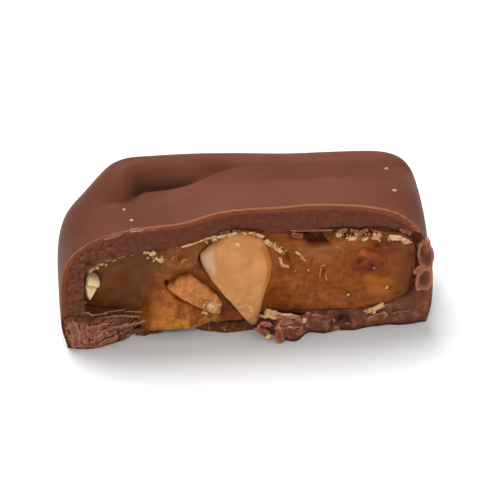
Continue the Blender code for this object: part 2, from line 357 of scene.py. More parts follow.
def bar_points(a, b, c, margin, front_of, floor_of):
    """Points of the toffee, or of the cavity round it. a and c run from -1 to 1, and b from 0 to 1."""
    low_left = rise(-0.2, -0.8, a) * rise(-0.2, -0.8, c)
    pull = pulled_in(a, b, c, mix(TOFFEE_POWER, TOFFEE_LOW_LEFT_POWER, low_left))
    across, back, up = a * pull, b * pull, (c * pull + 1.0) / 2
    x = mix(TOFFEE_LEFT - margin, TOFFEE_RIGHT + margin, (across + 1.0) / 2)
    roof = toffee_roof(x) + margin
    front = front_of(x, mix(TOFFEE_BOTTOM - margin, roof, up))
    y = mix(front, TOFFEE_BACK + margin, back)
    z = mix(floor_of(x, y) - margin, roof, up)
    return np.stack((x, y + CUT_Y, z), -1)


class Net:
    """The points, faces and point values of a mesh in the making, in millimetres."""

    def __init__(self):
        self.count = 0
        self.points = []
        self.faces = []
        self.values = {}

    def add(self, points, **values):
        """Adds points with their values, 0 where none is given, and returns their numbers."""
        points = np.asarray(points, float).reshape(-1, 3)
        for name in self.values | values:
            column = self.values.setdefault(name, [np.zeros(self.count)])
            column.append(np.broadcast_to(values.get(name, 0.0), len(points)).astype(float))
        self.points.append(points)
        self.count += len(points)
        return np.arange(self.count - len(points), self.count)

    def bridge(self, near, far):
        """Quads between two closed rows of as many points."""
        for n in range(len(near)):
            after = (n + 1) % len(near)
            self.faces.append((near[n], near[after], far[after], far[n]))

    def extend(self, near, points, **values):
        """Adds a closed row of points, bridges it to the row before it and returns its numbers."""
        far = self.add(points, **values)
        self.bridge(near, far)
        return far

    def sheet(self, grid):
        """Quads over a grid of point numbers."""
        for row, after in zip(grid, grid[1:]):
            for n in range(len(row) - 1):
                self.faces.append((row[n], after[n], after[n + 1], row[n + 1]))

    def make(self, name, smooth=True):
        """Turns the net into an object at the origin, inside the solids' box, with normals facing out."""
        mesh = bpy.data.meshes.new(name)
        points = np.clip(np.concatenate(self.points), CAD_LOW, CAD_HIGH) * MM
        mesh.from_pydata(points.tolist(), [], [[int(n) for n in face] for face in self.faces])
        for key, column in self.values.items():
            values = np.concatenate(column).astype(np.float32)
            mesh.attributes.new(key, "FLOAT", "POINT").data.foreach_set("value", values)
        form = bmesh.new()
        form.from_mesh(mesh)
        bmesh.ops.recalc_face_normals(form, faces=form.faces)
        form.to_mesh(mesh)
        form.free()
        if smooth:
            mesh.shade_smooth()
        return add_object(name, mesh)


def add_object(name, data):
    """An object at the origin of the scene, with a mesh, a light or a camera."""
    made = bpy.data.objects.new(name, data)
    bpy.context.scene.collection.objects.link(made)
    return made


def lattice_side(cells, side):
    """The steps of one side of a box lattice, as rows of (across, back, up)."""
    across, back, up = cells
    fixed = {"front": 0, "back": back, "left": 0, "right": across, "top": up}[side]
    if side in ("front", "back"):
        return [[(p, fixed, q) for q in range(up + 1)] for p in range(across + 1)]
    if side in ("left", "right"):
        return [[(fixed, p, q) for q in range(up + 1)] for p in range(back + 1)]
    return [[(p, q, fixed) for q in range(back + 1)] for p in range(across + 1)]


def add_box_sides(net, cells, place, sides):
    """Adds sides of a box lattice to the net. place turns shares across, back and up into points."""
    number = {}
    grids = [lattice_side(cells, side) for side in sides]
    for grid in grids:
        for row in grid:
            for step in row:
                number.setdefault(step, len(number))
    shares = np.array(list(number), float) / cells
    first = net.add(place(*shares.T))[0]
    for step in number:
        number[step] += first
    for grid in grids:
        net.sheet([[number[step] for step in row] for row in grid])
    return number


def round_steps(columns, rows):
    """The steps once round a rectangle of cells."""
    steps = [(p, 0) for p in range(columns)]
    steps += [(columns, q) for q in range(rows)]
    steps += [(p, rows) for p in range(columns, 0, -1)]
    steps += [(0, q) for q in range(rows, 0, -1)]
    return steps


def edge_shares(columns, rows):
    """Shares across and up, once round the rim of a lattice side."""
    return np.array(round_steps(columns, rows), float).T / np.array([[columns], [rows]])


def add_back(net, near, points_of, a, c, **values):
    """Closes the back of the toffee, or of the cavity round it, with rows that grow smaller."""
    for share in BACK_SHARES:
        near = net.extend(near, points_of(share * a, 1.0, share * c), **values)
    net.faces.append(list(near))


class Wire:
    """A shader socket that is added, multiplied and compared like a number."""

    def __init__(self, finish, socket):
        self.finish = finish
        self.socket = socket

    def maths(self, operation, *values):
        return self.finish.node("ShaderNodeMath", {"operation": operation}, values)

    def __add__(self, other):
        return self.maths("ADD", self, other)

    __radd__ = __add__

    def __sub__(self, other):
        return self.maths("SUBTRACT", self, other)

    def __rsub__(self, other):
        return self.maths("SUBTRACT", other, self)

    def __mul__(self, other):
        return self.maths("MULTIPLY", self, other)

    __rmul__ = __mul__

    def __abs__(self):
        return self.maths("ABSOLUTE", self)

    def least(self, other):
        return self.maths("MINIMUM", self, other)

    def most(self, other):
        return self.maths("MAXIMUM", self, other)

    def bump(self, width):
        """1 at 0, falling to 0 at the width on either side."""
        return abs(self).rise(width, 0.0)

    def rise(self, low, high):
        """A smooth rise from 0 at low to 1 at high. Low may be the larger."""
        settings = {"interpolation_type": "SMOOTHSTEP", "clamp": True}
        if low < high:
            return self.finish.node("ShaderNodeMapRange", settings, {"Value": self, 1: low, 2: high})
        return 1 - self.rise(high, low)


class Finish:
    """A material whose Principled shader is fed by node expressions."""

    def __init__(self, name, **constants):
        self.material = bpy.data.materials.new(name)
        self.material.use_nodes = True
        self.tree = self.material.node_tree
        self.tree.nodes.clear()
        output = self.tree.nodes.new("ShaderNodeOutputMaterial")
        self.shader = self.tree.nodes.new("ShaderNodeBsdfPrincipled")
        self.tree.links.new(self.shader.outputs["BSDF"], output.inputs["Surface"])
        for name, value in constants.items():
            self.shader.inputs[name.replace("_", " ").title().replace("Ior", "IOR")].default_value = value
        coordinates = self.node("ShaderNodeTexCoord", output="Object")
        inputs = {0: coordinates, "Scale": 1 / MM}
        self.spots = self.node("ShaderNodeVectorMath", {"operation": "SCALE"}, inputs)

    def node(self, kind, settings=None, inputs=(), output=0):
        """Adds a node, applies its settings, then fills or links its inputs, and gives one output."""
        made = self.tree.nodes.new(kind)
        for name, value in (settings or {}).items():
            setattr(made, name, value)
        pairs = inputs.items() if isinstance(inputs, dict) else enumerate(inputs)
        for key, value in pairs:
            if isinstance(value, Wire):
                self.tree.links.new(value.socket, made.inputs[key])
            else:
                made.inputs[key].default_value = value
        return Wire(self, made.outputs[output])

    def axes(self):
        """The x, y and z of the surface point in millimetres."""
        return [self.node("ShaderNodeSeparateXYZ", {}, (self.spots,), n) for n in range(3)]

    def noise(self, size, detail=2.0, roughness=0.5, distortion=0.0, stretch=None):
        """Noise from 0 to 1 in lumps of the given size in millimetres. A stretch below 1 draws them out."""
        spots = self.spots
        if stretch:
            spots = self.node("ShaderNodeVectorMath", {"operation": "MULTIPLY"}, {0: spots, 1: stretch})
        inputs = {"Vector": spots, "Scale": 1 / size, "Detail": detail}
        inputs.update({"Roughness": roughness, "Distortion": distortion})
        return self.node("ShaderNodeTexNoise", {"noise_dimensions": "3D"}, inputs, "Fac")

    def value(self, name):
        """A point value that the mesh carries."""
        return self.node("ShaderNodeAttribute", {"attribute_name": name}, output="Fac")

    def blend(self, share, first, second):
        """A colour between two, by a share from 0 to 1."""
        inputs = {0: share}
        for socket, paint in ((6, first), (7, second)):
            inputs[socket] = paint if isinstance(paint, Wire) else (*paint, 1.0)
        return self.node("ShaderNodeMix", {"data_type": "RGBA", "clamp_factor": True}, inputs, 2)

    def layers(self, colour, *coats):
        """A colour under coats that are laid on in turn, each given as its share and its colour."""
        for share, coat in coats:
            colour = self.blend(share, colour, coat)
        return colour

    def feed(self, links):
        """Links expressions to the shader's sockets and gives the material."""
        for name, value in links.items():
            self.tree.links.new(value.socket, self.shader.inputs[name])
        return self.material

    def dress(self, colour, roughness, height, depth, strength):
        """Feeds a colour, a roughness and a relief from a height of 0 to 1, with its depth in millimetres."""
        inputs = {"Height": height, "Distance": depth * MM, "Strength": strength}
        relief = self.node("ShaderNodeBump", {}, inputs)
        return self.feed({"Base Color": colour, "Roughness": roughness, "Normal": relief})


# Coating


COATING_MARGIN = 0.16
# Share of painted shade on the steep front of the fold, beside the full share in its crease
SLOPE_DARKNESS = 0.35
EDGE_ROUNDING = 0.12
# Each pore gives its x, its z and its width
PORES = (
    (-15.9, 3.0, 0.2),
    (-15.4, 2.2, 0.26),
    (-15.3, 1.0, 0.24),
    (-16.4, 1.6, 0.16),
    (-15.0, 9.3, 0.2),
)


def chunk_share(x, z):
    """1 on the layered chunk at the left end of the base, 0 elsewhere."""
    return rise(-8.2, -10.0, x) * rise(3.9, 3.2, z)


def rim_relief(x, z, edge, inner):
    """How far the cut chocolate stands back, in millimetres, with its shares of pale edges, partly painted
    light, and of painted shade.
    """
    upright = rise(2.4, 3.6, z)
    burr = -0.10 * bump(edge, 0.12, 0.14) * upright
    knife = 0.025 * grain(x * 0.5, 1.0, z, 0.5) + 0.025 * grain(x, 4.0, z, 0.25)
    chunk = chunk_share(x, z)
    layers = 0.25 * chunk * shell_chips(x, z, 1.1, 2.0)
    pores = sum(0.5 * bump(np.hypot(x - px, z - pz), 0.0, size, 3) for px, pz, size in PORES)
    base = (1.0 - upright) * (1.0 - chunk)
    cracks = ridges(x, 7.0, z * 1.4, 1.5) ** 3
    chips = shell_chips(x, z * 1.3, 1.3, 4.0)
    broken = base * (0.22 * chips + 0.06 * grain(x, 6.0, z, 0.35) + 0.12 * cracks - 0.1)
    hollow = 0.8 * bump(np.hypot((x - 9.2) / 1.5, z - 1.15), 0.0, 0.7, 3)
    hollow = hollow + 0.6 * bump(np.hypot((x - 16.75) / 1.2, z - 9.9), 0.0, 0.62, 3)
    top_right = rise(2.5, 4.5, x) * rise(8.0, 9.5, z)
    crumbly = top_right * rise(0.75, 0.2, inner) * (0.45 + 0.45 * grain(x, 8.0, z, 0.7))
    left = rise(-8.0, -11.0, x) * upright
    left_wall = 0.16 * left * shell_chips(x, z, 0.8, 7.0) * rise(0.2, 0.7, edge)
    back = burr + knife + layers + pores + broken + hollow + crumbly + left_wall
    # pale is partly painted light: a little over the whole broken base against the shade it sits in, and more
    # at the rims of its chips
    pale = base * (0.2 + 0.45 * rise(0.3, 0.0, chips))
    shade = 0.8 * rise(0.55, 0.15, z) * rise(3.0, 5.0, x)
    # Painted shade: the lowest strip at the right as the contact shadow, the pores, hollows and cracks, the
    # crumbly gap at the top right, and a little over the chunk
    dark = shade + 0.25 * chunk + 1.3 * pores + 0.15 * base * cracks + 1.2 * hollow + 0.8 * crumbly
    return back, np.clip(pale, 0, 1), np.clip(dark, 0, 1)


def cavity_points(a, b, c):
    """Points of the coating's wall round the toffee."""
    return bar_points(a, b, c, COATING_MARGIN, coating_front, lambda x, y: plate_level(x))


def build_coating():
    """The chocolate: its skin, flat underside, cut rim, and the walls of the cavity round the toffee."""
    across, back, up = COATING_CELLS
    net = Net()
    sides = ("left", "right", "top", "back")
    skin = add_box_sides(net, COATING_CELLS, lambda i, j, k: skin_points(2 * i - 1, j, k), sides)
    x, y, z = net.points[-1].T
    # Painted shade in the crease at the foot of the fold and, weaker, on its steep front, carried as the
    # value fold
    shaded = np.maximum(crease_share(x, y - CUT_Y), SLOPE_DARKNESS * slope_share(x, y - CUT_Y))
    net.values["fold"] = [shaded * rise(8.0, 10.0, z)]
    front = np.arange(1, across) / across
    for i, number in enumerate(net.add(skin_points(2 * front - 1, 0.0, 0.0)), 1):
        skin[i, 0, 0] = number
    net.faces.append([skin[i, j, 0] for i, j in round_steps(across, back)])

    i, k = edge_shares(across, up)
    a, c = 2 * i - 1, 2 * k - 1
    outer, inner = skin_points(a, 0.0, k), cavity_points(a, 0.0, c)
    near = [skin[p, 0, q] for p, q in round_steps(across, up)]
    for step in range(1, RIM_STEPS + 1):
        point = mix(outer, inner, (step / RIM_STEPS) ** RIM_STEP_POWER)
        x, _, z = point.T
        edge, to_bar = (np.hypot(x - ring[:, 0], z - ring[:, 2]) for ring in (outer, inner))
        relief, pale, dark = rim_relief(x, z, edge, to_bar)
        point[:, 1] = CUT_Y + coating_front(x, z) + relief * rise(0.0, EDGE_ROUNDING, edge)
        near = net.extend(near, point, cut=1.0, edge=edge, pale=pale, dark=dark)
    # The cavity walls carry painted shade, stronger towards the top and full at the back
    for row in range(1, CAVITY_ROWS + 1):
        wall = cavity_points(a, row / CAVITY_ROWS, c)
        near = net.extend(near, wall, cut=1.0, edge=FAR_FROM_EDGE, dark=rise(5.0, 8.0, wall[:, 2]))
    add_back(net, near, cavity_points, a, c, cut=1.0, edge=FAR_FROM_EDGE, dark=1.0)
    return net.make("coating_fine")


# Toffee


TOFFEE_MARGIN = 0.05
CURVE_STEPS = 8
# Each pit gives its x and z, and how long and how tall it is
PITS = (
    (7.65, 5.6, 0.22, 0.65),
    (6.3, 5.95, 0.2, 0.25),
    (10.1, 3.25, 0.2, 0.2),
    (13.9, 3.65, 0.22, 0.22),
    (4.0, 8.0, 0.3, 0.45),
    (-6.1, 9.0, 0.3, 0.25),
    (12.9, 8.4, 0.25, 0.2),
    (9.2, 8.0, 0.16, 0.16),
    (11.2, 6.5, 0.16, 0.2),
    (8.7, 4.0, 0.14, 0.14),
    (12.4, 6.1, 0.2, 0.14),
    (5.2, 4.6, 0.16, 0.14),
    (-7.3, 4.0, 0.22, 0.2),
    (-5.9, 2.4, 0.18, 0.16),
)


def almond_gap(x, z, shape, width):
    """1 along an almond piece's outline, fading over a width on its outer side, and 0 elsewhere."""
    distance = outline_distance(x, z, shape)
    return np.where(distance > -0.3, bump(distance, 0.0, width), 0.0)


def closed_curve(corners, steps):
    """A closed Catmull-Rom curve through corners."""
    corners = np.array(corners, float)
    before, after, last = np.roll(corners, 1, 0), np.roll(corners, -1, 0), np.roll(corners, -2, 0)
    t = (np.arange(steps) / steps)[None, :, None]
    bend = (2 * before - 5 * corners + 4 * after - last)[:, None]
    twist = (3 * corners - before - 3 * after + last)[:, None]
    slope = (after - before)[:, None]
    return ((2 * corners[:, None] + slope * t + bend * t**2 + twist * t**3) / 2).reshape(-1, 2)


def outline_distance(x, z, shape):
    """Distance in millimetres from an almond piece's outline at the cut, negative inside."""
    curve = closed_curve(shape["outline"], CURVE_STEPS)
    spots = np.stack((np.asarray(x, float).ravel(), np.asarray(z, float).ravel()), -1)
    starts, ends = curve, np.roll(curve, -1, 0)
    way = ends - starts
    offset = spots[:, None] - starts[None]
    share = np.clip((offset * way).sum(-1) / (way * way).sum(-1), 0, 1)
    nearest = np.linalg.norm(offset - share[..., None] * way, axis=-1).min(1)
    crossing = (starts[None, :, 1] > spots[:, None, 1]) != (ends[None, :, 1] > spots[:, None, 1])
    steepness = np.where(way[:, 1] == 0, 1e-9, way[:, 1])
    reach = starts[:, 0] + (spots[:, None, 1] - starts[:, 1]) * way[:, 0] / steepness
    inside = (crossing & (spots[:, None, 0] < reach)).sum(1) % 2 == 1
    return np.where(inside, -nearest, nearest).reshape(np.shape(x))


def shell_chips(x, z, size, seed):
    """Hollows left by brittle chips: shallow bowls with sharp rims, 0 at a rim and 1 at its deepest."""
    cell_x, cell_z = x / size, z / size
    best = np.full(np.shape(x), 9.0)
    for step_x in (-1, 0, 1):
        for step_z in (-1, 0, 1):
            home_x, home_z = np.floor(cell_x) + step_x, np.floor(cell_z) + step_z
            jitter = np.sin(home_x * HASH_ACROSS + home_z * HASH_UP + seed) * HASH_SPREAD
            shift_x = jitter - np.floor(jitter)
            shift_z = (jitter * HASH_SECOND) - np.floor(jitter * HASH_SECOND)
            away = (cell_x - home_x - shift_x) ** 2 + (cell_z - home_z - shift_z) ** 2
            best = np.minimum(best, away)
    return np.clip(1.0 - best, 0.0, 1.0)


def bar_relief(x, z):
    """How far the broken toffee stands back from its plain face, in millimetres, and its share of gaps, which
    carry painted shade.
    """
    right = rise(1.5, 3.5, x)
    lump = rise(-9.2, -8.2, x) * rise(-2.0, -3.5, x)
    left = rise(-8.6, -9.8, x)
    facets = right * 0.40 * shell_chips(x, z * 1.2, 2.4, 1.0)
    facets = facets + lump * 0.30 * shell_chips(x * 1.1, z, 2.0, 5.0)
    fine = (right * 0.14 + lump * 0.10) * shell_chips(x, z, 0.9, 3.0)
    fine = fine + 0.05 * (right + lump) * shell_chips(x, z, 0.42, 11.0)
    smooth = left * 0.12 * grain(x, 1.0, z, 2.5) + 0.04 * grain(x, 1.0, z, 0.6) * (1 - left)
    pits = gaps = 0.0
    for pit_x, pit_z, long, tall in PITS:
        pits = pits + bump(np.hypot((x - pit_x) / long, (z - pit_z) / tall), 0.0, 1.0, 4)
    for shape, width, open_side in (
        (LARGE_ALMOND, 0.24, rise(1.0, -1.2, x) * rise(10.2, 8.6, z)),
        (SMALL_ALMOND, 0.32, rise(0.4, -0.2, z + 0.76 * x - 0.68)),
        (ALMOND_FRAGMENT, 0.16, 0.4),
    ):
        gaps = np.maximum(gaps, open_side * almond_gap(x, z, shape, width))
    top_recess = 0.9 * rise(3.5, 5.5, x) * rise(9.6, 10.6, z)
    top_gap = bump(x + 0.8 * (z - 10.5), 6.1, 1.2, 4) * rise(8.7, 9.2, z)
    between_crumbs = bump(x, 10.9, 2.5, 6) * rise(9.5, 9.9, z) * rise(-0.3, 0.3, grain(x, 9.0, z, 0.6))
    gaps = np.maximum(gaps, np.maximum(top_gap, 0.8 * between_crumbs))
    back = facets + fine + smooth + 0.3 * pits + 0.55 * gaps + 0.7 * top_gap + top_recess
    return back, np.clip(gaps, 0, 1)


def toffee_points(a, b, c):
    """Points of the toffee before its face is broken."""
    return bar_points(a, b, c, TOFFEE_MARGIN, toffee_front, sagging_level)


def broken_face(i, _, k):
    """Points of the toffee's broken face, from shares across and up."""
    points = toffee_points(2 * i - 1, 0.0, 2 * k - 1)
    points[:, 1] += bar_relief(points[:, 0], points[:, 2])[0]
    return points


def build_bar():
    """The toffee, with its broken face grown out to the chocolate round it."""
    across, back, up = TOFFEE_CELLS
    net = Net()
    number = add_box_sides(net, TOFFEE_CELLS, broken_face, ("front",))
    x, _, z = net.points[-1].T
    net.values["gap"] = [bar_relief(x, z)[1]]
    beside = bump(outline_distance(x, z, LARGE_ALMOND), 0.2, 0.5) * rise(1.0, 1.8, x)
    net.values["crescent"] = [beside * rise(5.5, 7.5, z) * rise(11.0, 10.0, z)]
    a, c = 2 * edge_shares(across, up) - 1
    near = [number[p, 0, q] for p, q in round_steps(across, up)]
    for row in range(1, back + 1):
        near = net.extend(near, toffee_points(a, (row / back) ** TOFFEE_ROW_POWER, c))
    add_back(net, near, toffee_points, a, c)
    return net.make("toffee_fine")


# Almonds


NUT_STEPS = 12
NUT_FACE_RINGS = 14
NUT_FACE_SHARE = 0.93
NUT_BEVEL = 0.25
# Each ring round the sides gives its share of the outline and how far back it lies, as a share of the depth
NUT_SIDE_RINGS = (
    (0.965, 0.02),
    (0.99, 0.05),
    (1.0, 0.12),
    (0.97, 0.24),
    (0.88, 0.42),
    (0.76, 0.6),
    (0.62, 0.78),
    (0.3, 1.0),
)


def build_nut(name, shape, face_relief, roughness, **marks):
    """A piece of almond: its broken face, bevelled edge, skin sides and blunt end inside the toffee."""
    heart = np.array(shape["heart"])
    outline = closed_curve(shape["outline"], NUT_STEPS)
    jags = 1.0 + roughness * grain(outline[:, 0], 3.0, outline[:, 1], 0.6)
    spokes = (outline - heart) * jags[:, None]
    net = Net()

    def ring(share, behind, face_share=1.0):
        """The outline at a share of its size, behind the face's place, with a share of the face's relief."""
        x, z = (heart + spokes * share).T
        y = CUT_Y + shape["face"] + behind + face_share * face_relief(x, z)
        return np.stack((x, y, z), -1)

    centre = net.add(ring(0.0, 0.0)[:1], **marks)[0]
    for step in range(1, NUT_FACE_RINGS + 1):
        share = NUT_FACE_SHARE * step / NUT_FACE_RINGS
        far = net.add(ring(share, NUT_BEVEL * rise(0.75, 0.95, share)), reach=share, **marks)
        if step == 1:
            net.faces += [(centre, corner, after) for corner, after in zip(far, np.roll(far, -1))]
        else:
            net.bridge(near, far)
        near = far
    for share, behind in NUT_SIDE_RINGS:
        points = ring(share, NUT_BEVEL + behind * shape["depth"], 1.0 - rise(0.0, 0.3, behind))
        side = mix(0.3, 1.0, rise(0.1, 0.3, behind)) * rise(11.0, 9.8, points[:, 2])
        near = net.extend(near, points, side=side, reach=1.0, **marks)
    net.faces.append(list(near))
    return net.make(name)


def large_face(x, z):
    """The large almond's broken face: crowned, with a facet at its upper left."""
    crown = -0.35 * bump(np.hypot((x + 0.2) / 3.0, (z - 7.5) / 4.5), 0.0, 1.0)
    facet = 0.75 * np.maximum(-2.75 - x - 0.12 * (z - 9.0), 0.0) * rise(7.2, 8.6, z)
    fibres = 0.05 * grain(x * 2.4, 1.0, z * 0.6, 1.0) + 0.03 * grain(x, 2.0, z, 0.35)
    rough_tip = rise(6.5, 3.5, z) * (0.07 * grain(x, 5.0, z, 0.4) + 0.05 * grain(x, 6.0, z, 0.2))
    return crown + facet + fibres + rough_tip


def small_face(x, z):
    """The small almond's broken face, which leans back to its lower right."""
    lean = 0.10 * (x + 4.9)
    rough = 0.2 * grain(x, 1.0, z, 0.8) + 0.16 * grain(x, 2.0, z, 0.35)
    return lean + rough


def fragment_face(x, z):
    """The fragment's face, cracked across its middle."""
    crack = 0.6 * bump(0.35 * (x + 14.6) + (z - 6.15), 0.0, 0.12)
    return crack + 0.15 * grain(x, 1.0, z, 0.6)


# Broken chocolate


CRUST_CELLS = (280, 90)
CRUST_BURIED = 0.5
CRUST_EDGE_BURIED = 0.3
CRUST_FOOT = 0.02
CRUST_INSET = 0.12
CHUNK_SPAN = (-17.6, -8.9)
CHIP_SPAN = (0.9, 6.1)
CHUNK_STAND = 0.12
CHIP_STAND = -0.25
LAYER_FAN = (-8.4, 2.9)


def stray(number, seed):
    """A number from 0 to 1 that looks random but is the same for the same number."""
    value = np.sin(number * HASH_NUMBER + seed * HASH_SEED) * HASH_SPREAD
    return value - np.floor(value)


def terraces(steps, seed):
    """Height of layers broken off in steps, 0 to 1, with the shares of their pale edges and of painted shade
    at their feet.
    """
    layer = np.floor(steps)
    across = steps - layer
    height = (0.35 + 0.65 * stray(layer, seed)) * (1.0 - across) ** 1.2
    pale = bump(across, 0.09, 0.14) * (0.45 + 0.55 * stray(layer, seed + 3.0))
    return height, pale, rise(0.66, 0.98, across)


def chunk_layers(x, z):
    """Layers of the chunk at the left: they fan out from its right end and curl round in its left end."""
    warp = 1.3 * grain(x, 3.3, z, 2.1) + 0.9 * grain(x, 8.1, z, 0.8) + 0.5 * grain(x, 2.1, z, 0.35)
    fan_x, fan_z = LAYER_FAN
    angle = np.degrees(np.arctan2(fan_z + 0.3 - z, np.maximum(fan_x - x, 0.25)))
    fan = terraces(angle / 7.0 + warp, 1.0)
    curl = terraces(np.hypot(x + 15.6, (z - 1.75) * 1.15) / 0.8 + 1.5 * warp, 2.0)
    share = rise(-13.6, -15.0, x + 0.5 * grain(x, 1.0, z, 1.0))
    return [mix(first, second, share) for first, second in zip(fan, curl)]


def chip_layers(x, z):
    """Layers of the chip that stands out under the large almond, tipped down to the left."""
    warp = 0.7 * grain(x, 5.3, z, 1.5) + 0.4 * grain(x, 2.1, z, 0.6)
    return terraces((z + 0.28 * (x - 3.5)) / 0.62 + warp, 5.0)


def add_crust(net, span, top_of, layers_of, depth, stand):
    """A closed crust of layers that stands out from the craggy base, with its border buried in it."""
    columns, rows = CRUST_CELLS
    s, t = np.meshgrid(np.linspace(0, 1, columns + 1), np.linspace(0, 1, rows + 1), indexing="ij")
    z = mix(CRUST_FOOT, top_of(mix(span[0], span[1], s)), t)
    wall = TUCK_DEPTH * bump(z, 0.0, TUCK_HEIGHT) + left_lean(z) - HALF_WIDTH
    x = mix(np.maximum(span[0], wall + CRUST_INSET), span[1], s)
    inside = rise(0.0, 0.05, s) * rise(1.0, 0.93, s) * rise(0.0, 0.05, t) * rise(1.0, 0.93, t)
    height, pale, dark = layers_of(x, z)
    chips = shell_chips(x, z, 1.2, 9.0)
    pits = rise(0.25, 0.55, grain(x, 7.7, z, 0.55))
    forward = (height * (1.0 - 0.6 * chips) - 0.35 * pits) * depth + 0.09 * grain(x, 1.9, z, 0.3)
    base = coating_front(x, z)
    y = base - inside * (stand + forward) + (1.0 - inside) * CRUST_EDGE_BURIED
    # The crust carries painted shade at the feet of its layers and in its pits, and full shade on its buried
    # border
    front = net.add(
        np.stack((x, CUT_Y + y, z), -1),
        rim=np.clip(1.6 * pale * inside, 0, 1).ravel(),
        tone=(0.9 + 0.4 * grain(x, 4.4, z, 0.9)).ravel(),
        dark=np.clip(dark + 0.6 * pits, 0, 1).ravel(),
    ).reshape(x.shape)
    net.sheet(front)
    border = tuple(np.array(round_steps(columns, rows)).T)
    buried = net.add(np.stack((x, CUT_Y + base + CRUST_BURIED, z), -1)[border], dark=1.0)
    net.bridge(buried, front[border])
    net.faces.append(list(buried))


def chunk_top(x):
    return 3.2 - 0.5 * rise(-15.5, -9.0, x) + 0.35 * grain(x, 0.3, 0.0, 0.9)


def chip_top(x):
    return 2.9 - 0.5 * rise(2.5, 6.0, x)


def build_crusts(depth):
    """The layered chunk at the left of the base and the chip under the large almond."""
    net = Net()
    add_crust(net, CHUNK_SPAN, chunk_top, chunk_layers, depth, CHUNK_STAND)
    add_crust(net, CHIP_SPAN, chip_top, chip_layers, depth, CHIP_STAND)
    return net.make("crusts")


# Flakes


FLAKE_CELLS = (30, 16)
SPECK_THICKNESS = 0.12
SKIN_SPECK_THICKNESS = 0.14
SPECK_SINK = 0.02
FLAKE_FOOT = 0.01
UPRIGHT = Matrix(((1, 0, 0), (0, 0, -1), (0, 1, 0)))


def turned_axes(turn, lean):
    """Axes of a plate in the plane of the cut, after it leans out and turns, in degrees."""
    spin = Matrix.Rotation(math.radians(turn), 3, "Z") @ Matrix.Rotation(math.radians(lean), 3, "X")
    return np.array(UPRIGHT @ spin)


def add_flake(
    net, spot, size, turn=0.0, lean=0.0, tone=0.5, ragged=0.3, cup=0.0, power=4.0, dish=0.0, curl=0.0
):
    """A thin, bent, ragged plate. spot is x, y back from the cut, z; size is length, width, thickness.

    cup bends it across and curl along. dish sinks its middle, in millimetres, so that its border stands
    up like a fold."""
    columns, rows = FLAKE_CELLS
    length, width, thickness = size
    u, v = np.meshgrid(np.linspace(-1, 1, columns + 1), np.linspace(-1, 1, rows + 1), indexing="ij")
    seed = spot[0] * 3.1 + spot[2] * 1.7
    reach = np.maximum(np.abs(u), np.abs(v))
    jags = grain(u * 1.6 + seed, v * 1.6, seed * 0.7, 1.0)
    jags = jags + 0.5 * grain(u * 4.0, v * 4.0 + seed, seed, 1.0)
    pull = pulled_in(u, v, 0.0, power) * (1 + ragged * jags)
    across, along = u * pull * length / 2, v * pull * width / 2
    middle = rise(0.85, 0.35, reach)
    lift = curl * u**2 * length / 2 + cup * v**2 * width / 2
    lift = lift + 0.16 * width * grain(u * 1.7, v * 1.7 + seed, seed, 1.0)
    lift = lift + 0.07 * grain(across, along + seed, seed, 0.28)
    lift = lift - dish * middle
    half = thickness / 2 * np.sqrt(np.maximum(1 - 0.85 * reach**5, 0.02))
    # Painted shade in a dished middle
    dark = (min(2.0 * dish, 1.0) * middle * 0.8).ravel()
    axes = turned_axes(turn, lean)
    border = tuple(np.array(round_steps(columns, rows)).T)
    edges = []
    for side in (half, -half):
        points = np.stack((across, along, lift + side), -1).reshape(-1, 3) @ axes.T
        points = points + np.array((spot[0], CUT_Y + spot[1], spot[2]))
        points[:, 2] = np.maximum(points[:, 2], FLAKE_FOOT)
        numbers = net.add(points, rim=(reach**4).ravel(), tone=tone, dark=dark).reshape(u.shape)
        net.sheet(numbers)
        edges.append(numbers[border])
    net.bridge(edges[1], edges[0])


# Each row gives the spot (x, y back from the cut, z), the size (length, width, thickness), and then what
# add_flake takes after them: turn, lean, tone, ragged, cup, power, dish and curl, as far as they matter
WALL_FLAKES = (
    (17.35, -0.3, 8.1, 3.4, 1.4, 0.9, -84, 8, 0.5, 0.22, 0.2, 2.6, 0.35),
    (17.2, -0.3, 5.3, 2.9, 1.5, 0.9, -101, -6, 0.65, 0.22, 0.2, 2.3, 0.35),
    (16.7, -0.55, 6.6, 1.4, 0.55, 0.4, -130, 0, 0.8, 0.3, 0.3, 2.5),
)
EDGE_FLAKES = (
    (-12.6, -0.1, 12.5, 1.9, 0.26, 0.16, 19, -25, 0.9, 0.3, 0.3, 2.6),
    (-10.4, -0.1, 13.02, 1.6, 0.36, 0.14, 4, -35, 1.25, 0.3, 0.5, 2.6),
    (-8.9, -0.05, 12.98, 1.0, 0.22, 0.14, 5, -20, 0.62),
    (6.4, 0.05, 11.42, 3.9, 0.2, 0.12, -4, -35, 0.85, 0.2),
    (5.0, 0.05, 11.05, 1.0, 0.45, 0.16, -20, 15, 0.55, 0.3, 0.6, 4, 0.15),
    (-2.0, -0.2, 12.05, 1.0, 0.3, 0.16, 8, -15, 0.3, 0.3, 0.4),
    (-0.9, -0.35, 12.2, 0.7, 0.25, 0.14, -12, -15, 0.4),
    (9.3, 0.05, 11.1, 1.0, 0.4, 0.16, 10, -15, 0.75, 0.3, 0.4),
    (10.5, 0.05, 11.0, 0.8, 0.35, 0.16, -20, -15, 0.65, 0.3, 0.4),
    (11.4, 0.0, 10.95, 0.9, 0.35, 0.16, 12, -15, 0.8),
    (12.7, 0.05, 10.7, 0.8, 0.35, 0.16, -25, -10, 0.75),
    (15.4, -0.1, 10.6, 1.3, 0.35, 0.16, -30, -10, 0.45),
    (16.4, -0.1, 10.9, 1.2, 0.3, 0.16, -50, -10, 0.6),
)
